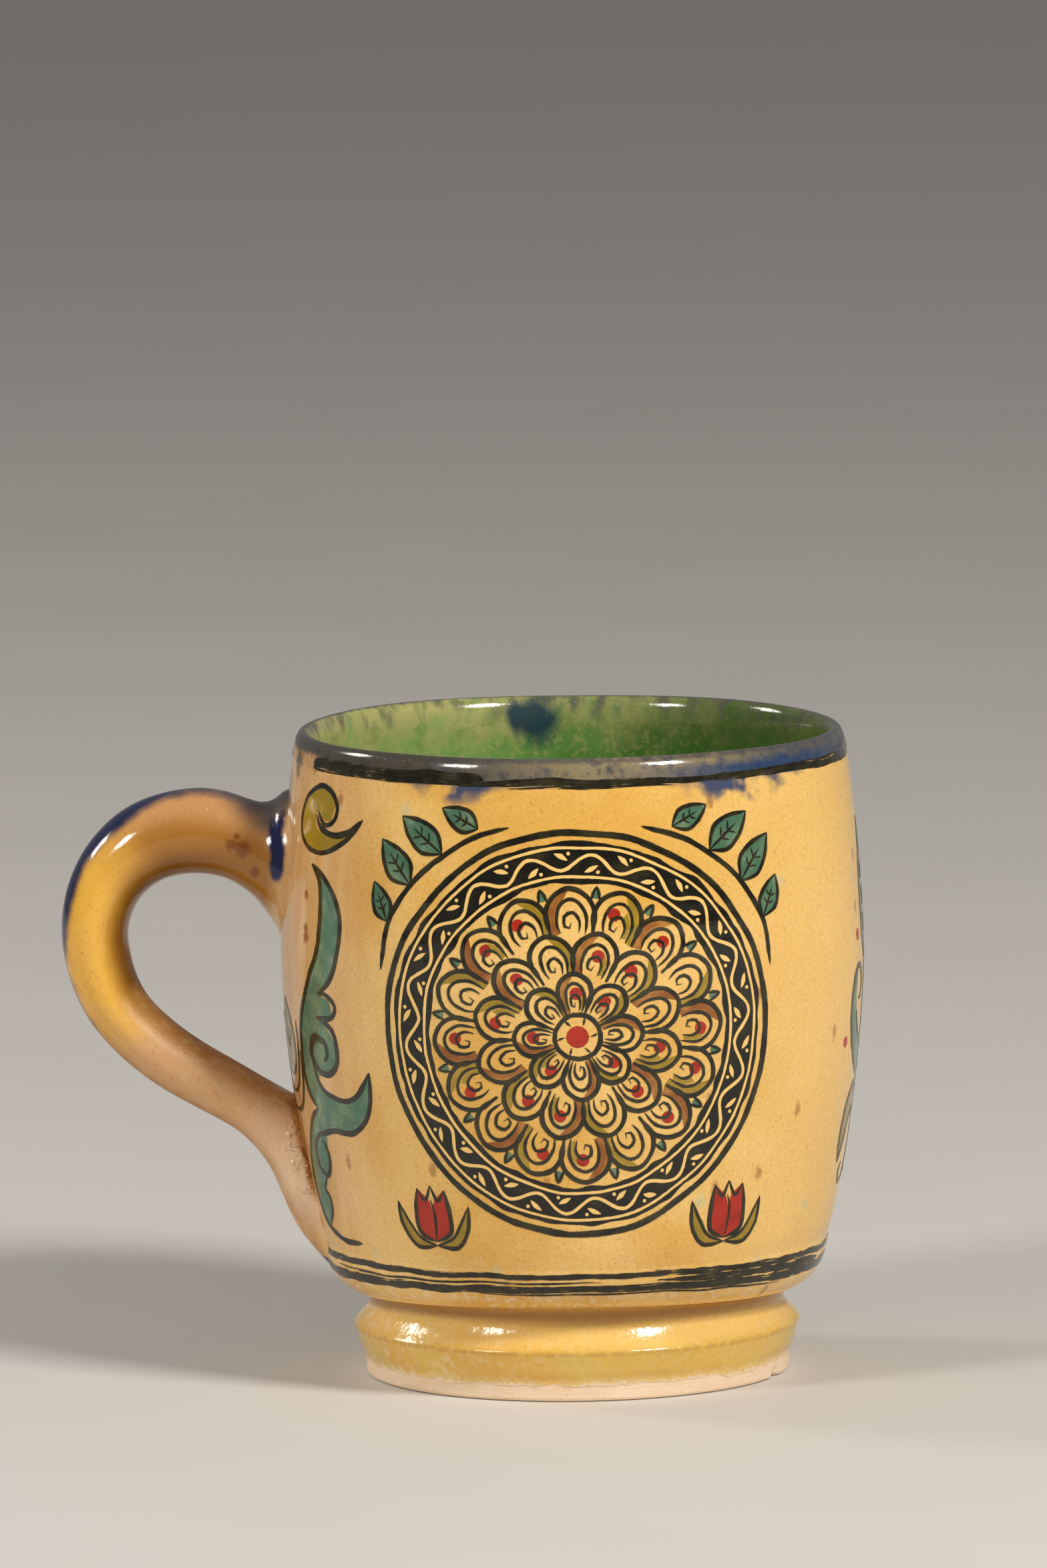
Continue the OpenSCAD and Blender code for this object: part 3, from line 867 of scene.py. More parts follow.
# Brushwork in millimetres: the points along and across a stroke and across a wash, the least share of its
# width that a pointed end keeps, its ragged edge and the half width from which it is fully ragged, and how
# far and over what distance the hand strays
STROKE_ALONG = 0.6
STROKE_ACROSS = 1.6
WASH_ACROSS = 1.4
POINTED = 0.12
RAGGED = 0.07
RAGGED_HALF = 0.25
STRAY = 0.3
STRAY_SIZE = 7
# Strokes that meet lie this far apart in height, in millimetres, so that their corners stay apart
STROKE_STEP = 0.0013
STROKE_STEPS = 7
PAINT_THICKNESS = 0.06 * MM


class Painting:
    """Brush strokes on the barrel, gathered by colour as rows of (u, v, along, across, half width)."""

    def __init__(self, mirrored=True):
        self.mirrored = mirrored
        self.strokes = {}

    def add(self, tone, rows):
        """Keeps a stroke and, where the painting is mirrored, its mirror image on the back."""
        kept = self.strokes.setdefault(tone, [])
        kept.append(rows)
        if self.mirrored:
            far = math.pi * sizes().paint_r / MM
            kept.append([[(far - p[0], *p[1:]) for p in reversed(row)] for row in rows])

    def line(self, tone, points, width, ends=2.5, closed=False, waver=0.16):
        """A stroke along a smooth line, drawn out to a point at its ends."""
        path = through(points, STROKE_ALONG, closed)
        far = lengths_along(path)
        columns = max(2, round(width / STROKE_ACROSS) + 1)
        rows = []
        for i, here in enumerate(path):
            before, after = path[max(i - 1, 0)], path[min(i + 1, len(path) - 1)]
            if closed and i in (0, len(path) - 1):
                before, after = path[-2], path[1]
            left = Vector((before.y - after.y, after.x - before.x)).normalized()
            press = 1 + waver * noise.noise(Vector((here.x * 0.35, here.y * 0.35, width)))
            if ends and not closed:
                nearest = min(far[i], far[-1] - far[i])
                press *= max(POINTED, math.sqrt(min(1.0, nearest / min(ends, far[-1] / 2))))
            half = width / 2 * press
            row = []
            for k in range(columns + 1):
                c = 2 * k / columns - 1
                rough = RAGGED * noise.noise(Vector((here.x * 1.7, here.y * 1.7, 4 * c)))
                rough *= min(1.0, half / RAGGED_HALF)
                row.append((*(here + left * (half * c + rough * abs(c))), far[i], c, half))
            rows.append(row)
        self.add(tone, rows)

    def ink(self, points, width, ends=2.5):
        """A black stroke."""
        self.line("black", points, width, ends)

    def wash(self, tone, left, right, step=1.0):
        """A wash between two smooth lines."""
        a, b = through(left, step), through(right, step)
        count = max(len(a), len(b))
        a, b = evenly(a, count), evenly(b, count)
        widest = max((q - p).length for p, q in zip(a, b))
        columns = max(2, round(widest / WASH_ACROSS))
        turn = sum((a[i + 1] - a[i]).cross(b[i] - a[i]) for i in range(count - 1))
        if turn < 0:
            a, b = b, a
        rows = []
        for i in range(count):
            half = (b[i] - a[i]).length / 2
            spread = [k / columns for k in range(columns + 1)]
            rows.append([(*a[i].lerp(b[i], t), i * step, 2 * t - 1, half) for t in spread])
        self.add(tone, rows)

    def dot(self, tone, centre, radius):
        """A round touch of the brush."""
        steps = 6
        rows = []
        for i in range(steps + 1):
            lean = math.pi * i / steps
            half = radius * max(math.sin(lean), 0.06)
            x = centre[0] - radius * math.cos(lean)
            rows.append([(x, centre[1] + half * c, 0.0, c, half) for c in (-1, -0.5, 0, 0.5, 1)])
        self.add(tone, rows)

    def piece(self, name, tone, lift, finish, outline):
        """Lays all strokes of one colour on the barrel as one piece."""
        bpy.ops.object.select_all(action="DESELECT")
        laid = []
        for number, rows in enumerate(self.strokes[tone]):
            height = (lift + STROKE_STEP * (number % STROKE_STEPS)) * MM
            long, wide = len(rows) - 1, len(rows[0]) - 1
            bpy.ops.mesh.primitive_grid_add(x_subdivisions=long, y_subdivisions=wide, size=2)
            sheet = bpy.context.object
            laid.append(sheet)
            places, marks = [], []
            for vertex in sheet.data.vertices:
                i = round((vertex.co.x + 1) / 2 * long)
                j = round((vertex.co.y + 1) / 2 * wide)
                u, v, *mark = rows[i][j]
                sway = STRAY * noise.noise(Vector((u / STRAY_SIZE, v / STRAY_SIZE, 1.5)))
                dip = STRAY * noise.noise(Vector((u / STRAY_SIZE, v / STRAY_SIZE, 5.5)))
                places.extend(outline.on_wall(u + sway, v + dip, height))
                marks.extend(mark)
            sheet.data.vertices.foreach_set("co", places)
            sheet.data.attributes.new("brush", "FLOAT_VECTOR", "POINT").data.foreach_set("vector", marks)
        for sheet in laid:
            sheet.select_set(True)
        bpy.context.view_layer.objects.active = laid[0]
        if len(laid) > 1:
            bpy.ops.object.join()
        piece = named(bpy.context.object, name)
        bpy.ops.object.mode_set(mode="EDIT")
        bpy.ops.mesh.select_all(action="SELECT")
        bpy.ops.mesh.remove_doubles(threshold=MERGE)
        bpy.ops.object.mode_set(mode="OBJECT")
        modified(piece, "SOLIDIFY", thickness=PAINT_THICKNESS, offset=-1)
        smoothed(piece)
        return finished(piece, finish, "honey_glaze")


def evenly(line, count):
    """The same line with another number of points, evenly spaced."""
    far = lengths_along(line)
    spaced, k = [], 0
    for i in range(count):
        want = far[-1] * i / (count - 1)
        while k < len(far) - 2 and far[k + 1] < want:
            k += 1
        span = far[k + 1] - far[k]
        spaced.append(line[k].lerp(line[k + 1], (want - far[k]) / span if span else 0.0))
    return spaced


# Each paint's full and thin tone, how streaky it is, and how bare its dry streaks are
PAINTS = {
    "black": ("black", "black_thin", 1.0, 0.0),
    "dry": ("black", "black_thin", 1.0, 0.85),
    "ground": ("black", "black_thin", 0.6, 0.0),
    "teal": ("teal", "teal_pale", 0.8, 0.0),
    "olive": ("olive", "olive_pale", 0.8, 0.0),
    "brown": ("brown", "brown_pale", 0.8, 0.0),
    "red": ("red", "red_deep", 0.8, 0.0),
    "cream": ("cream", "honey", 0.2, 0.0),
}
# Millimetres by which each paint lies over the glaze
LIFTS = {
    "olive": 0.02,
    "teal": 0.02,
    "brown": 0.028,
    "ground": 0.035,
    "red": 0.045,
    "black": 0.055,
    "dry": 0.055,
    "cream": 0.07,
}


def lay_painting(painting, group):
    """Turns every colour of a painting into a piece."""
    outline = Outline(sizes())
    for tone in painting.strokes:
        name = f"{group}_{tone}"
        painting.piece(name, tone, LIFTS[tone], paint_finish(name, *PAINTS[tone]), outline)


# Rings round the mug, in millimetres: height, width, a seed for the drift, start and end round from the
# front, length of the drawn-out ends, and how much higher it lies at the front than at the sides
RINGS = (
    (94.5, 0.85, 1.0, -49, 208, 1.0, 0.0),
    (95.1, 1.8, 1.0, -49, -12, 1.0, 0.0),
    (94.6, 1.2, 1.0, -14, 12, 12, 0.0),
    (93.75, 0.4, 2.0, -8, 18, 8, 0.0),
    (94.35, 1.15, 1.0, 22, 96, 14, 0.0),
    (95.1, 0.35, 3.0, 40, 62, 8, 0.0),
    (19.6, 1.0, 4.0, -66, 206, 3.0, 0.2),
    (17.3, 1.45, 5.0, -66, 206, 3.0, -0.2),
    (18.5, 0.4, 6.0, -52, 6, 9, 0.0),
    (16.3, 0.3, 7.0, -16, 44, 9, -0.3),
    (18.5, 1.2, 8.0, 16, 58, 9, 0.0),
)
RING_STRIDE = 6
RING_DRIFT = 0.25


def rings_round_the_mug():
    """The line under the lip and the two lines over the heel, each with dry strokes beside it."""
    painting = Painting(mirrored=False)
    for height, width, seed, start, end, ends, rise in RINGS:
        count = max(8, round((end - start) / RING_STRIDE))
        points = []
        for i in range(count + 1):
            u = start + (end - start) * i / count
            lean = u * MM / sizes().paint_r
            drift = RING_DRIFT * noise.noise(Vector((2 * math.cos(lean), 2 * math.sin(lean), seed)))
            points.append((u, height + drift + rise * math.cos(lean)))
        painting.line("dry", points, width, ends, waver=0.3)
    return painting


def leaf_scroll(p):
    """The split leaf that climbs beside the handle, with a knuckle, hooks and a curled foot."""
    spine = [
        (-46.5, 80), (-44, 78), (-43.3, 75), (-43.5, 71), (-44.5, 67), (-47, 63), (-49.5, 59), (-51.2, 55),
        (-51.8, 51), (-51.7, 47.5), (-50.2, 44.8), (-47.7, 43),
    ]
    leaf = [
        (-46.5, 80), (-42.5, 78.4), (-39.5, 75.8), (-38, 72.6), (-38.2, 69), (-39.3, 65.7), (-41, 63),
        (-44.3, 60.7),
    ]
    knuckle = [(-44.3, 60.6), (-42.4, 61), (-40, 60), (-39.5, 58.8), (-41, 57.4), (-45, 57.2)]
    knuckle_edge = [(-44.3, 60.7), (-41, 60), (-40.6, 57.6), (-43, 57)]
    hook = [
        (-45, 57.2), (-42.8, 56.7), (-40.3, 55.3), (-39.6, 52.4), (-40.3, 50.2), (-42.8, 48.8), (-45.6, 49),
        (-47.4, 50.5), (-47.7, 52.5), (-45.4, 54), (-43.1, 53.5), (-42.5, 51.6), (-43.8, 50.6),
    ]
    hook_edge = [(-43.5, 57), (-40.4, 54), (-40.4, 50.5), (-44, 48.9), (-46.6, 47.6), (-45, 45.2)]
    under = [(-47.8, 50), (-45.7, 46.6), (-42.6, 45.5), (-38.8, 45.2), (-35.5, 46.6), (-32.5, 50)]
    branch = [(-46, 39.4), (-42.9, 40), (-38, 40.2), (-34.5, 42.6), (-32.8, 46), (-32.5, 50)]
    fork = [(-47.7, 43.4), (-48, 41.4), (-46, 39.6)]
    fork_edge = [(-45.5, 46.6), (-44.5, 43.5), (-43, 40.2)]
    stem = [
        (-47.7, 43), (-50.9, 40.8), (-53.5, 37.5), (-55.3, 33.8), (-55.4, 30), (-54.2, 26.6), (-51.3, 24.1),
        (-46, 22.8), (-40.5, 22.8),
    ]
    stem_edge = [
        (-45.5, 42), (-46.5, 39), (-50, 36.5), (-50.4, 33.9), (-48.3, 32), (-49.9, 30.2), (-48.9, 28.6),
        (-50.8, 24.6),
    ]
    loop = [
        (-46, 39.4), (-49.3, 38.5), (-51.2, 36.3), (-51, 33.9), (-48.4, 32.4), (-46.4, 34), (-46.2, 36.2),
        (-47.7, 38.2),
    ]
    loop_edge = [(-46, 39.4), (-46.2, 36.4), (-46.6, 34), loop[4]]
    barb = [(-48.4, 32.4), (-50.2, 30.2), (-48.9, 29.2), (-48.8, 27.3), (-50.8, 24.6)]
    for left, right in (
        (spine[:7], leaf), (spine[5:9], knuckle_edge), (spine[7:], hook_edge), (branch, under[1:]),
        (fork, fork_edge), (loop[:5], loop_edge), (stem[:7], stem_edge),
    ):
        p.wash("teal", left, right)
    for line, width in (
        (spine, 1.0), (leaf, 0.95), (knuckle, 0.85), (hook, 0.95), (under, 0.85),
        ([*reversed(branch), *loop[1:]], 0.85), (stem, 0.95), (barb, 0.75),
    ):
        p.ink(line, width)
    p.ink([(-47.5, 51), (-47.2, 53), (-45.4, 54.1), (-43.6, 53.2)], 1.5)


def curl_over_scroll(p):
    """The curl over the scroll, drawn out into a tendril."""
    curl = [
        (-33.5, 88), (-37.4, 84.6), (-42.9, 82.2), (-48, 82.3), (-50.9, 84.3), (-51.3, 87), (-49.7, 90),
        (-45.8, 92), (-42.2, 91.5), (-40.2, 89.7), (-40.4, 87.8), (-41.8, 86.6), (-43.6, 86.6),
        (-45.6, 88.4),
    ]
    curl_edge = [(-44.8, 85.2), (-46, 86), (-46, 88), (-45.4, 88.6), (-43.5, 87.2), (-41.6, 87)]
    tendril = [(-45.8, 87.7), (-44.5, 86), (-40.7, 85.1), (-36.8, 86), (-33.5, 88)]
    p.wash("olive", [*curl[3:9], (-40.6, 90)], curl_edge)
    p.wash("olive", curl[:4], [tendril[4], tendril[3], tendril[2], (-45, 85.4)])
    p.ink(curl, 0.8)
    p.ink(tendril, 1.0)


# A line of a bract, as shares of its width and height
BRACT = ((0.98, 1.0), (1.0, 0.68), (0.84, 0.3), (0.5, 0.07), (0.0, 0.0))


def bud_by_handle(p):
    """A bud in bracts, in the gap between the scroll and the handle."""
    axis = -60
    for edge in (1, -1):
        shape = ((0, 58.4), (2.6, 55.4), (4.4, 51.6), (3.4, 48.2), (0, 46.6))
        side = [(axis + edge * x, y) for x, y in shape]
        p.wash("olive", side, [(axis, y) for y in (58.4, 55, 51, 46.6)])
        p.ink(side, 0.8)
        p.ink([(axis, 50.4), (axis + edge * 1.2, 51.6), (axis + edge * 2.2, 53.4)], 0.4, 1.0)
        for high, wide, low, width in ((55.4, 6.3, 44.1, 0.75), (51.2, 7.3, 41.2, 0.85)):
            tall = high - low
            p.ink([(axis + edge * share * wide, low + up * tall) for share, up in BRACT], width)
    p.ink([(axis, 56.8), (axis - 0.1, 52.5), (axis, 48)], 0.45)


def fleuron(p):
    """Half of the fleuron opposite the handle, which the mirror image makes whole."""
    middle = math.pi * sizes().paint_r / MM / 2

    def half(points):
        return [(middle - x, y) for x, y in points]

    bud = half([(0, 84), (1.9, 80), (3.9, 75), (4.2, 70), (3, 65.6), (0.6, 62.6)])
    p.wash("teal", bud, half([(0, 84), (0, 77), (0, 70), (0, 62.6)]))
    p.ink(bud, 1.0)
    for low in (66.5, 70.5, 74.5):
        p.ink(half([(0.5, low), (1.4, low + 2), (2.6, low + 3)]), 0.45, 1.0)
    arm = half([
        (0.4, 45), (4, 46), (8, 49.6), (10.4, 55), (9.6, 60), (6.6, 62.2), (4, 60.4), (4.2, 57.4), (6.2, 57),
    ])
    p.wash("teal", arm[:6], half([(0.4, 50.6), (3, 50.8), (5.6, 52.8), (7.3, 55.8), (7.7, 59), (6.6, 62.2)]))
    p.ink(half([(0.4, 50.6), (3, 50.8), (5.6, 52.8), (7.2, 55.4)]), 0.8)
    p.ink(arm, 1.0)
    leaf = half([(0.4, 44), (4.6, 43.6), (8.4, 41), (10.4, 36.6), (10.2, 32.6)])
    keel = half([(0.4, 40.6), (3.4, 39.9), (6, 37.9), (7.8, 35.4), (10.2, 32.6)])
    p.wash("olive", leaf, keel)
    p.ink(leaf, 0.9)
    p.ink(keel, 0.7)
    p.ink(half([(0.5, 62.4), (0.55, 52), (0.5, 40), (0.5, 30)]), 0.6)
    p.ink(half([(0.5, 35.5), (2, 31.6), (4.4, 29.2), (7, 29.2), (7.8, 31), (6.4, 32.2)]), 0.8)
    p.dot("red", half([(7.4, 67)])[0], 0.95)
    p.dot("red", half([(12.6, 51.4)])[0], 0.9)


def side_scrolls():
    """Split-leaf scrolls beside the handle, curls over and buds beside them, and a fleuron opposite."""
    p = Painting()
    leaf_scroll(p)
    curl_over_scroll(p)
    bud_by_handle(p)
    fleuron(p)
    return p


# The rosette's middle, in millimetres round from the front and up, and the middle of its black ring
ROSETTE = Vector((2.5, 57))
RING_RADIUS = 26
RING_WAVES = 18
CIRCLE_POINTS = 48
# A leaf of the pale vine: its distance from the middle of the ring, and degrees round
VINE_LEAF = ((0.3, -2.4), (0.9, -0.4), (1.4, 1.8))
# The lines of a petal, as shares of its height and of half its spread
PETAL_RIM = ((0, -0.96), (0.5, -1.0), (0.84, -0.62), (1, 0), (0.84, 0.62), (0.5, 1.0), (0, 0.96))
PETAL_MID = (
    (0.02, -0.66), (0.4, -0.68), (0.68, -0.36), (0.76, 0.04), (0.62, 0.42), (0.3, 0.6), (0.06, 0.5),
)
PETAL_CORE = (
    (0.06, -0.36), (0.3, -0.4), (0.48, -0.12), (0.4, 0.24), (0.2, 0.26), (0.16, 0.04), (0.28, -0.04),
)
# Rows of petals from the outside in: inner and outer radius, and how many
PETAL_ROWS = ((15.4, 22.2, 16), (9.2, 15.8, 12), (3.6, 9.6, 8))
# A spray's stem as radius and degrees, and its leaves: degrees, length and how many degrees each leans
SPRAY_STEM = ((32.6, 108), (33.6, 122), (34.2, 138), (34, 152), (32.6, 164))
SPRAY_LEAVES = ((116, 5.5, 6), (128, 8.5, 3), (140, 8.5, -2), (152, 5.5, -6))
SPRAY_RADIUS = 34.2


def on_rosette(radius, degrees):
    """A point at a distance and a turn from the rosette's middle."""
    lean = math.radians(degrees)
    return ROSETTE + Vector((math.cos(lean), math.sin(lean))) * radius


def circle(p, tone, radius, width, wander=0.12):
    """A hand-drawn circle round the rosette's middle."""
    points = []
    for i in range(CIRCLE_POINTS):
        drift = wander * noise.noise(Vector((i * 0.9, radius, 0.3)))
        points.append(on_rosette(radius + drift, 360 * i / CIRCLE_POINTS))
    p.line(tone, points, width, closed=True)


def vine_ring(p):
    """The black ring round the rosette, with a pale vine on it."""
    circle(p, "ground", RING_RADIUS, 6.2, 0.1)
    circle(p, "black", 30.4, 1.0)
    for radius in (28.2, 23.9):
        circle(p, "cream", radius, 0.42)
    vine = []
    for i in range(8 * RING_WAVES):
        radius = RING_RADIUS + 1.2 * math.sin(math.pi * i / 4)
        vine.append(on_rosette(radius, 360 * i / (8 * RING_WAVES)))
    p.line("cream", vine, 0.5, closed=True)
    for i in range(2 * RING_WAVES):
        turn = 360 * (i + 0.5) / (2 * RING_WAVES)
        side = 1 if i % 2 else -1
        leaf = [on_rosette(RING_RADIUS + side * off, turn + by) for off, by in VINE_LEAF]
        p.line("cream", leaf, 0.8, 1.2)
        p.dot("cream", on_rosette(RING_RADIUS + side * 1.3, turn - 2.8), 0.28)


def petal(p, low, high, turn, spread, kind):
    """A lined petal; its kind says which washes and touches it gets."""

    def spot(up, across):
        return on_rosette(low + (high - low) * up, turn + spread * across)

    rim, mid, core = ([spot(*place) for place in line] for line in (PETAL_RIM, PETAL_MID, PETAL_CORE))
    p.ink(rim, 0.72)
    p.ink(mid, 0.52)
    p.ink(core, 0.5)
    if kind % 2:
        p.wash("olive", rim[:4], [*mid[:3], spot(0.9, -0.12), rim[3]])
    else:
        p.wash("brown", rim[3:], [rim[3], spot(0.88, 0.1), *mid[4:]])
    if kind % 3 == 0:
        outer = [spot(0.1, -0.6), spot(0.4, -0.6), spot(0.62, -0.3)]
        p.wash("olive", outer, [spot(0.08, -0.36), spot(0.3, -0.38), spot(0.44, -0.16)])
    if kind % 3 != 1:
        p.dot("red", spot(0.5, 0.2 if kind % 2 else -0.1), 0.95)


def rosette(p):
    """Three rows of petals, small leaves between the outer ones and a red middle."""
    count = 0
    for low, high, petals in PETAL_ROWS:
        half = 180 / petals
        shift = half if petals == 12 else 0
        for i in range(petals):
            petal(p, low, high, 2 * half * i + shift + 3, half, count)
            count += 1
    for i in range(16):
        gap = 22.5 * i + 14.25
        p.dot("teal", on_rosette(21.4, gap), 0.75)
        p.ink([on_rosette(20.2, gap - 2.2), on_rosette(22.4, gap), on_rosette(20.2, gap + 2.2)], 0.45, 0.8)
    circle(p, "black", 3.4, 0.7, 0.1)
    p.dot("red", ROSETTE, 1.7)
    for i in range(6):
        p.ink([on_rosette(1.9, 60 * i), on_rosette(3.2, 60 * i + 8)], 0.4, 0.8)


def spray_leaf(p, foot, tip):
    """A ribbed leaf."""
    way = tip - foot
    wide = Vector((-way.y, way.x)) * 0.26
    left = [foot, foot + way * 0.3 + wide * 0.9, foot + way * 0.65 + wide * 0.75, tip]
    right = [foot, foot + way * 0.3 - wide * 0.9, foot + way * 0.65 - wide * 0.75, tip]
    p.wash("teal", left, right)
    p.ink(left, 0.65)
    p.ink(right, 0.65)
    p.ink([foot, foot + way * 0.7], 0.45)
    for share in (0.3, 0.48):
        for edge in (1, -1):
            rib = foot + way * share
            p.ink([rib, rib + way * 0.12 + wide * (0.55 * edge)], 0.35, 0.8)


def spray_bud(p, bud):
    """A red bud between two leaves."""
    for edge in (1, -1):

        def placed(*points):
            return [bud + Vector((edge * x, y)) for x, y in points]

        cup = placed((0, -4.4), (2.9, -3), (3.1, 0.6), (2.5, 4))
        p.wash("red", cup, placed((0, -4.4), (0, -2), (0, 0.6), (0.6, 2.4)))
        p.ink(cup, 0.75)
        p.ink([cup[-1], *placed((1.2, 2.2), (0, 4.6))], 0.65)
        leaf = placed((0, -5), (4, -5.2), (6.2, -2.4), (6.6, 1.6))
        keel = placed((0, -5), (3.2, -3.8), (4.8, -1.6), (6.6, 1.6))
        p.wash("olive", leaf, keel)
        p.ink(leaf, 0.65)
        p.ink(keel, 0.5)
    p.ink([bud + Vector(place) for place in ((0, -4.2), (0.3, 0), (-0.2, 2.4))], 0.5)


def spray(p, flip):
    """A spray of leaves over one side of the rosette, and a bud below it."""

    def beside(radius, degrees):
        place = on_rosette(radius, degrees)
        return Vector((ROSETTE.x + flip * (place.x - ROSETTE.x), place.y))

    p.ink([beside(radius, degrees) for radius, degrees in SPRAY_STEM], 0.8)
    for turn, size, lean in SPRAY_LEAVES:
        spray_leaf(p, beside(SPRAY_RADIUS, turn), beside(SPRAY_RADIUS + size, turn + lean))
    spray_bud(p, beside(37.5, 228))


def medallion():
    """A rosette of lined petals in a black ring with a pale vine, between sprays and buds."""
    p = Painting()
    vine_ring(p)
    rosette(p)
    for flip in (1, -1):
        spray(p, flip)
    return p


# The handle's sections from the upper root round the loop to the tail: shares of its stand-off,
# height, thickness and width, and the way that its back faces in degrees above level
HANDLE_SHARES = (
    (-0.145, 0.907, 2.65, 1.57, 90), (-0.01, 0.912, 2.3, 1.4, 90), (0.035, 0.922, 1.96, 1.26, 90),
    (0.102, 0.939, 1.61, 1.14, 90), (0.184, 0.962, 1.4, 1.09, 90), (0.32, 0.99, 1.3, 1.06, 90),
    (0.488, 1, 1.28, 1.04, 88), (0.68, 0.985, 1.235, 1.035, 71), (0.825, 0.948, 1.18, 1.03, 58),
    (0.942, 0.882, 1.1, 1.015, 39), (1, 0.79, 1.03, 1, 17), (0.982, 0.7, 0.99, 0.985, -7),
    (0.924, 0.614, 0.95, 0.97, -18), (0.813, 0.539, 0.93, 0.96, -34), (0.615, 0.46, 0.91, 0.945, -53),
    (0.382, 0.397, 0.875, 1.04, -58), (0.21, 0.348, 0.865, 1.18, -58), (0.032, 0.275, 1.1, 1.36, -42),
    (-0.011, 0.181, 0.96, 1.5, -25), (-0.032, 0.106, 0.88, 1.42, -28), (-0.057, 0.032, 0.56, 1.2, -35),
    (-0.078, -0.014, 0.34, 0.85, -40),
)
ARCH_ROW = 6
# Between these rows the tail's edges go over from a crease to a smear
SMEAR_ROWS = (17.7, 19.1)
HANDLE_SIDES = 28
# How deep the tail's edges are pressed under the wall's surface, and how deep both ends are seated
SMEAR_DEPTH = 0.15 * MM
SEAT_DEPTH = 0.22 * MM
# Lumps of glaze beside the tail
LUMP = 0.5 * MM
LUMP_SIZE = 1.5 * MM
HANDLE_GLAZE = 0.3 * MM


def handle_sections(outline):
    """Centre, thickness, width and facing of the handle's sections, two to each row."""
    s = sizes()
    reach = s.handle_out - s.handle_t / 2
    tail = s.joint_z + s.tail_h
    rise = s.height - s.handle_drop - s.handle_t * HANDLE_SHARES[ARCH_ROW][2] / 2 - tail
    rows = []
    for off, up, thick, wide, facing in HANDLE_SHARES:
        z = tail + up * rise
        out = outline.radius(z) + off * reach
        rows.append(Vector((out, z, thick * s.handle_t, wide * s.handle_w, math.radians(facing))))
    last = len(rows) - 1
    sections = []
    for i in range(last):
        a, b, c, d = (rows[min(max(i + k, 0), last)] for k in (-1, 0, 1, 2))
        sections += [eased(a, b, c, d, t) for t in (0.0, 0.5)]
    return [*sections, rows[last]]


def bridged_rings(name, sections, depth):
    """Oval rings at a depth under the handle's skin, each bridged to the next, with closed ends if there is
    a depth."""
    last = len(sections) - 1
    piece = new_mesh(name)
    bpy.ops.mesh.delete(type="VERT")
    for out, z, thick, wide, facing in sections:
        tall = thick / 2 - depth
        bpy.ops.mesh.primitive_circle_add(
            vertices=HANDLE_SIDES, radius=tall, location=(-out, 0, z), rotation=(0, math.pi + facing, 0)
        )
        bpy.ops.transform.resize(value=(1, (wide / 2 - depth) / tall, 1))
    mesh = bmesh.from_edit_mesh(piece.data)
    bpy.ops.mesh.select_mode(type="EDGE")

    def pick(*rings):
        bpy.ops.mesh.select_all(action="DESELECT")
        for edge in mesh.edges:
            a, b = (v.index // HANDLE_SIDES for v in edge.verts)
            if a == b and a in rings:
                edge.select_set(True)

    for k in range(last):
        pick(k, k + 1)
        bpy.ops.mesh.bridge_edge_loops()
    if depth:
        for k in (0, last):
            pick(k)
            bpy.ops.mesh.edge_face_add()
    bpy.ops.mesh.select_all(action="SELECT")
    bpy.ops.mesh.normals_make_consistent(inside=False)
    bpy.ops.object.mode_set(mode="OBJECT")
    return piece


def smear_tail(piece, sections, outline, depth):
    """Presses the tail's edges into the wall, and marks every point with its share of the way along the
    handle, how far it is towards the back and its distance off the wall."""
    last = len(sections) - 1
    marks = []
    for vertex in piece.data.vertices:
        k = vertex.index // HANDLE_SIDES
        out, z, thick, wide, facing = sections[k]
        away = vertex.co - Vector((-out, 0, z))
        back = away.dot(Vector((-math.cos(facing), 0, math.sin(facing)))) / (thick / 2)
        reach = math.hypot(vertex.co.x, vertex.co.y)
        off_wall = reach - outline.radius(vertex.co.z)
        smear = smoothstep(*SMEAR_ROWS, k / 2) * smoothstep(0.35, 1.0, abs(away.y) / (wide / 2))
        pressed = smear * max(0.0, off_wall + SMEAR_DEPTH + depth)
        vertex.co.x *= 1 - pressed / reach
        vertex.co.y *= 1 - pressed / reach
        marks.extend((k / last, back, (off_wall - pressed) / MM))
    piece.data.attributes.new("roll", "FLOAT_VECTOR", "POINT").data.foreach_set("vector", marks)


def handle_loft(name, outline, depth):
    """The handle at a depth under its skin, with a smeared tail and both ends seated in the wall."""
    sections = handle_sections(outline)
    piece = bridged_rings(name, sections, depth)
    smear_tail(piece, sections, outline, depth)
    modified(piece, "SUBSURF", levels=2, render_levels=2)

    def seated(point):
        out = math.hypot(point.x, point.y)
        wall = outline.radius(point.z)
        floor = wall - SEAT_DEPTH - depth / 2
        lump = 0.0
        if out > floor and not depth:
            low = fade(44, 40, point.z) * fade(26, 29, point.z)
            gathered = max(0.0, noise.noise(point / LUMP_SIZE)) * fade(3.4, 0.8, out - wall)
            lump = LUMP * gathered * low
        grow = (max(out, floor) + lump) / out
        return thrown(Vector((point.x * grow, point.y * grow, point.z)), 0)

    reshape(piece, seated)
    return piece


# The clay foot: turning lines on its bare edge, and a chip by its turn from the front, its height, its
# size in millimetres, the share that it takes off the radius and how far it lifts the edge
TURNING_LINES = 14
TURNING_DEPTH = 0.03 * MM
CHIP_TURN = 1.24
CHIP_Z = 0.3 * MM
CHIP_SIZE = 1.7
CHIP_SHARE = 0.022
CHIP_LIFT = 0.5 * MM
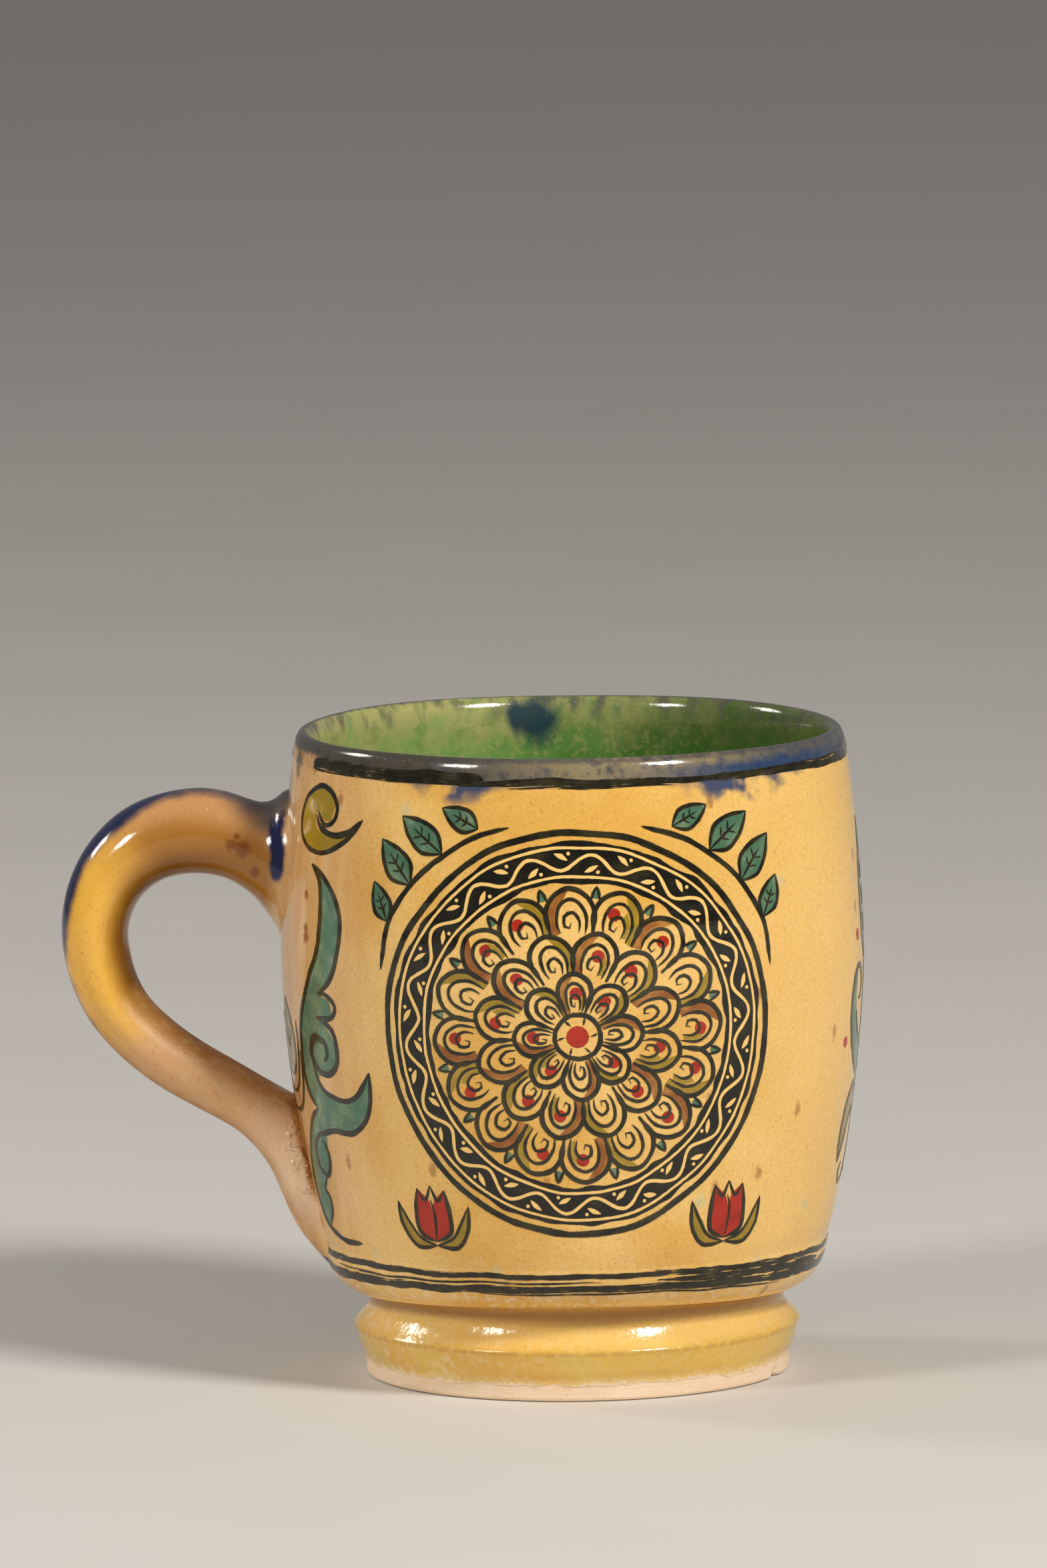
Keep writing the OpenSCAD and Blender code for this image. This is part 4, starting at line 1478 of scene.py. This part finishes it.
# The slip under the handle's tail: its depth under the wall's surface, its thickness, and the shares of
# the slip joint's height and width that it fills
SLIP_DEPTH = 0.05 * MM
SLIP_THICKNESS = 0.4 * MM
SLIP_TALL = 0.9
SLIP_WIDE = 0.8


def foot_section(outline):
    """The section of the clay foot, from the inside of its standing ring round the outside to the joint and
    back down."""
    s = sizes()
    inner = outline.base - s.ring_w
    top_inner = s.joint - s.ring_w
    section = [
        Vector((inner, s.base_bevel)),
        Vector((inner + s.base_bevel, 0)),
        Vector((outline.base - 4 * s.base_bevel, 0)),
        Vector((outline.base - s.base_bevel, 0)),
        Vector((outline.base - 0.2 * s.base_bevel, 0.4 * s.base_bevel)),
    ]
    for i in range(TURNING_LINES + 1):
        z = s.base_bevel + (s.bare_h - s.base_bevel) * i / TURNING_LINES
        section.append(Vector((outline.base - TURNING_DEPTH * (i % 2), z)))
    section += outline.below(range(2, outline.seat + 1), s.glaze)
    section.append(Vector((top_inner, s.foot_h)))
    steps = 6
    for i in range(1, steps):
        z = s.foot_h + (s.base_bevel - s.foot_h) * i / steps
        section.append(Vector((top_inner + (inner - top_inner) * i / steps, z)))
    return section


def chip_foot(piece, outline):
    """Throws the clay foot and breaks a small chip out of its standing ring."""
    chip = around(outline.base, CHIP_TURN, CHIP_Z)

    def worn(point):
        apart = (point - chip).length / MM
        if apart >= CHIP_SIZE or math.hypot(point.x, point.y) <= outline.base - 2 * MM:
            return thrown(point, 0)
        deep = 1 - apart / CHIP_SIZE
        share = 1 - deep * CHIP_SHARE
        return Vector((point.x * share, point.y * share, point.z + CHIP_LIFT * deep))

    reshape(piece, worn)


def slip_disc(name, outline):
    """A disc of slip laid on the wall under the handle's tail."""
    piece = new_mesh(name)
    bpy.ops.mesh.delete(type="VERT")
    bpy.ops.mesh.primitive_circle_add(vertices=32, radius=1, fill_type="TRIFAN")
    bpy.ops.mesh.subdivide(number_cuts=4)
    bpy.ops.object.mode_set(mode="OBJECT")
    low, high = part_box("lower_slip_joint")

    def under_tail(point):
        z = (low.z + high.z + point.y * SLIP_TALL * (high.z - low.z)) / 2
        out = outline.radius(z) - SLIP_DEPTH
        y = -point.x * SLIP_WIDE * high.y
        return thrown(Vector((-math.sqrt(out * out - y * y), y, z)), 0)

    reshape(piece, under_tail)
    modified(piece, "SOLIDIFY", thickness=SLIP_THICKNESS, offset=-1)
    return piece


# Operators

# Lamps: turn from the front and height in degrees, watts, and size in metres
LAMPS = (
    ("key", 48, 40, 18.6, 0.30),
    ("fill", -48, 34, 8.0, 0.28),
    ("side", -110, 30, 5.0, 0.28),
)
LAMP_AIM = Vector((0, 0, 0.05))
LAMP_COLOUR = (1.0, 0.96, 0.9)
SKY_COLOUR = (1.0, 0.97, 0.93, 1)
SKY_STRENGTH = 0.2
FLOOR_SIZE = 16
SENSOR = 36


class MUG_OT_stage(bpy.types.Operator):
    """Set up the camera, a plain pale floor and soft studio light"""

    bl_idname = "mug.stage"
    bl_label = "Stage"

    def execute(self, context):
        stage = context.scene.mug_stage
        context.scene.view_settings.view_transform = "Standard"
        aim = Vector((stage.aim_x, 0, stage.aim_z))
        away = around(math.cos(stage.elevation), stage.azimuth, math.sin(stage.elevation))
        bpy.ops.object.camera_add(location=aim + away * stage.distance)
        camera = context.object
        camera.name = "view"
        camera.rotation_euler = away.to_track_quat("Z", "Y").to_euler()
        camera.rotation_euler.rotate_axis("Z", stage.roll)
        camera.data.sensor_fit = "AUTO"
        camera.data.sensor_width = SENSOR
        camera.data.lens = SENSOR * stage.distance / stage.view_h
        context.scene.camera = camera
        bpy.ops.mesh.primitive_plane_add(size=FLOOR_SIZE)
        floor = context.object
        floor.name = "floor"
        s = Surface("pale_floor")
        grain = s.noise(60, 3)
        tone = s.mix(grain * 0.06, tint("table"), (1, 1, 1, 1))
        floor.data.materials.append(s.made(tone, 0.55 + 0.1 * grain, grain, 0.1, 0.2))
        for name, turn, high, power, size in LAMPS:
            lift = math.radians(high)
            way = around(math.cos(lift), math.radians(turn), math.sin(lift))
            bpy.ops.object.light_add(type="AREA", location=LAMP_AIM + way * stage.light_distance)
            lamp = context.object
            lamp.name = name
            lamp.rotation_euler = way.to_track_quat("Z", "Y").to_euler()
            lamp.data.energy = power
            lamp.data.size = size
            lamp.data.color = LAMP_COLOUR
        world = bpy.data.worlds.new("studio")
        world.use_nodes = True
        back = world.node_tree.nodes["Background"]
        back.inputs["Color"].default_value = SKY_COLOUR
        back.inputs["Strength"].default_value = SKY_STRENGTH
        context.scene.world = world
        return {"FINISHED"}


class MUG_OT_clay(bpy.types.Operator):
    """Turn the clay barrel and foot, loft the clay handle, lay the slip under its tail and give the slip
    inside its finish"""

    bl_idname = "mug.clay"
    bl_label = "Clay"

    def execute(self, context):
        s = sizes()
        outline = Outline(s)
        clay = clay_finish()
        for name in ("foot_slip_joint", "upper_slip_joint"):
            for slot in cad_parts[name].material_slots:
                slot.material = clay
        section = [Vector((0, s.joint_z)), Vector((s.joint, s.joint_z))]
        section += outline.below(range(outline.seat + 2, len(outline.skin)), s.glaze)
        barrel = spun("clay_barrel", section, False, CLAY_STEPS)
        reshape(barrel, thrown)
        smoothed(barrel)
        finished(barrel, clay, "fired_clay", "barrel")
        foot = spun("bare_foot", foot_section(outline), True, GLAZE_STEPS)
        chip_foot(foot, outline)
        smoothed(foot, 30)
        finished(foot, clay, "fired_clay", "foot_ring")
        handle = handle_loft("clay_handle", outline, s.glaze)
        smoothed(handle)
        finished(handle, clay, "fired_clay", "handle")
        slip = slip_disc("tail_slip", outline)
        smoothed(slip)
        finished(slip, clay, "fired_slip", "lower_slip_joint")
        return {"FINISHED"}


class MUG_OT_coats(bpy.types.Operator):
    """Spin the coats of glaze on the barrel, the lip and the inside"""

    bl_idname = "mug.coats"
    bl_label = "Glaze coats"

    def execute(self, context):
        s = sizes()
        outline = Outline(s)
        last = len(outline.skin) - 1
        for name, first, end, finish, slot, node in (
            ("barrel_coat", outline.edge, outline.rim, barrel_finish(), "honey_glaze", "barrel_glaze"),
            ("lip_coat", outline.rim, outline.mouth, lip_finish(), "cobalt_glaze", "rim_glaze"),
            ("lining_coat", outline.mouth, last, lining_finish(), "green_glaze", "lining_glaze"),
        ):
            piece = spun(name, coat_section(outline, first, end, s.glaze), end != last, GLAZE_STEPS)
            reshape(piece, thrown)
            smoothed(piece)
            finished(piece, finish, slot, node)
        return {"FINISHED"}


# The lower edge of the foot's glaze: how much thinner it is and over what height, over what height it is
# ragged, and its waves, each by millimetres of height and fineness round the foot
EDGE_THIN = 0.33 * MM
EDGE_THIN_H = 2.4 * MM
EDGE_RAGGED_H = 2.6 * MM
EDGE_WAVES = ((0.9, 2.3), (0.55, 8), (0.3, 21))


class MUG_OT_foot_coat(bpy.types.Operator):
    """Spin the glaze on the foot and let it end in a thin ragged edge above the bare clay"""

    bl_idname = "mug.foot_coat"
    bl_label = "Foot glaze"

    def execute(self, context):
        s = sizes()
        outline = Outline(s)

        def thin(i):
            return EDGE_THIN * smoothstep(s.bare_h + EDGE_THIN_H, s.bare_h, outline.skin[i].y)

        piece = spun("foot_coat", coat_section(outline, 0, outline.edge, s.glaze, thin), True, FOOT_STEPS)

        def ragged(point):
            turn = math.atan2(point.x, -point.y)
            round_it = Vector((math.sin(turn), math.cos(turn), 0))
            wave = sum(tall * noise.noise(round_it * fine) for tall, fine in EDGE_WAVES)
            drop = wave * MM * smoothstep(s.bare_h + EDGE_RAGGED_H, s.bare_h, point.z)
            return thrown(Vector((point.x, point.y, point.z + drop)), 0)

        reshape(piece, ragged)
        smoothed(piece)
        finished(piece, foot_finish(), "ochre_glaze", "foot_glaze")
        return {"FINISHED"}


class MUG_OT_handle(bpy.types.Operator):
    """Loft the glaze on the handle from oval sections and seat its ends in the wall"""

    bl_idname = "mug.handle"
    bl_label = "Handle glaze"

    def execute(self, context):
        piece = handle_loft("handle_coat", Outline(sizes()), 0.0)
        modified(piece, "SOLIDIFY", thickness=HANDLE_GLAZE, offset=-1)
        smoothed(piece, 50)
        finished(piece, handle_finish(), "amber_glaze", "handle_glaze")
        return {"FINISHED"}


class MUG_OT_rings(bpy.types.Operator):
    """Brush the lines round the mug"""

    bl_idname = "mug.rings"
    bl_label = "Painted rings"

    def execute(self, context):
        lay_painting(rings_round_the_mug(), "ring")
        return {"FINISHED"}


class MUG_OT_scrolls(bpy.types.Operator):
    """Brush the scrolls beside and opposite the handle"""

    bl_idname = "mug.scrolls"
    bl_label = "Painted scrolls"

    def execute(self, context):
        lay_painting(side_scrolls(), "scroll")
        return {"FINISHED"}


class MUG_OT_medallion(bpy.types.Operator):
    """Brush the rosette, its ring and the sprays round it"""

    bl_idname = "mug.medallion"
    bl_label = "Painted medallion"

    def execute(self, context):
        lay_painting(medallion(), "medallion")
        return {"FINISHED"}


OPERATORS = (
    MUG_OT_stage, MUG_OT_clay, MUG_OT_coats, MUG_OT_foot_coat, MUG_OT_handle, MUG_OT_rings, MUG_OT_scrolls,
    MUG_OT_medallion,
)


class MUG_PT_sidebar(bpy.types.Panel):
    """Lists the steps that build the mug"""

    bl_label = "Glazed Clay Mug"
    bl_idname = "MUG_PT_sidebar"
    bl_space_type = "VIEW_3D"
    bl_region_type = "UI"
    bl_category = "Mug"

    def draw(self, context):
        for step in OPERATORS:
            self.layout.operator(step.bl_idname)
        for group in (context.scene.mug_sizes, context.scene.mug_colours, context.scene.mug_stage):
            box = self.layout.box()
            for name in group.__annotations__:
                box.prop(group, name)


CLASSES = (MugSizes, MugColours, MugStage, *OPERATORS, MUG_PT_sidebar)


def register():
    for kind in CLASSES:
        bpy.utils.register_class(kind)
    bpy.types.Scene.mug_sizes = PointerProperty(type=MugSizes)
    bpy.types.Scene.mug_colours = PointerProperty(type=MugColours)
    bpy.types.Scene.mug_stage = PointerProperty(type=MugStage)


def unregister():
    del bpy.types.Scene.mug_stage
    del bpy.types.Scene.mug_colours
    del bpy.types.Scene.mug_sizes
    for kind in reversed(CLASSES):
        bpy.utils.unregister_class(kind)


def main():
    register()
    bpy.ops.mug.stage()
    bpy.ops.mug.clay()
    bpy.ops.mug.coats()
    bpy.ops.mug.foot_coat()
    bpy.ops.mug.handle()
    bpy.ops.mug.rings()
    bpy.ops.mug.scrolls()
    bpy.ops.mug.medallion()


if __name__ == "__main__":
    main()
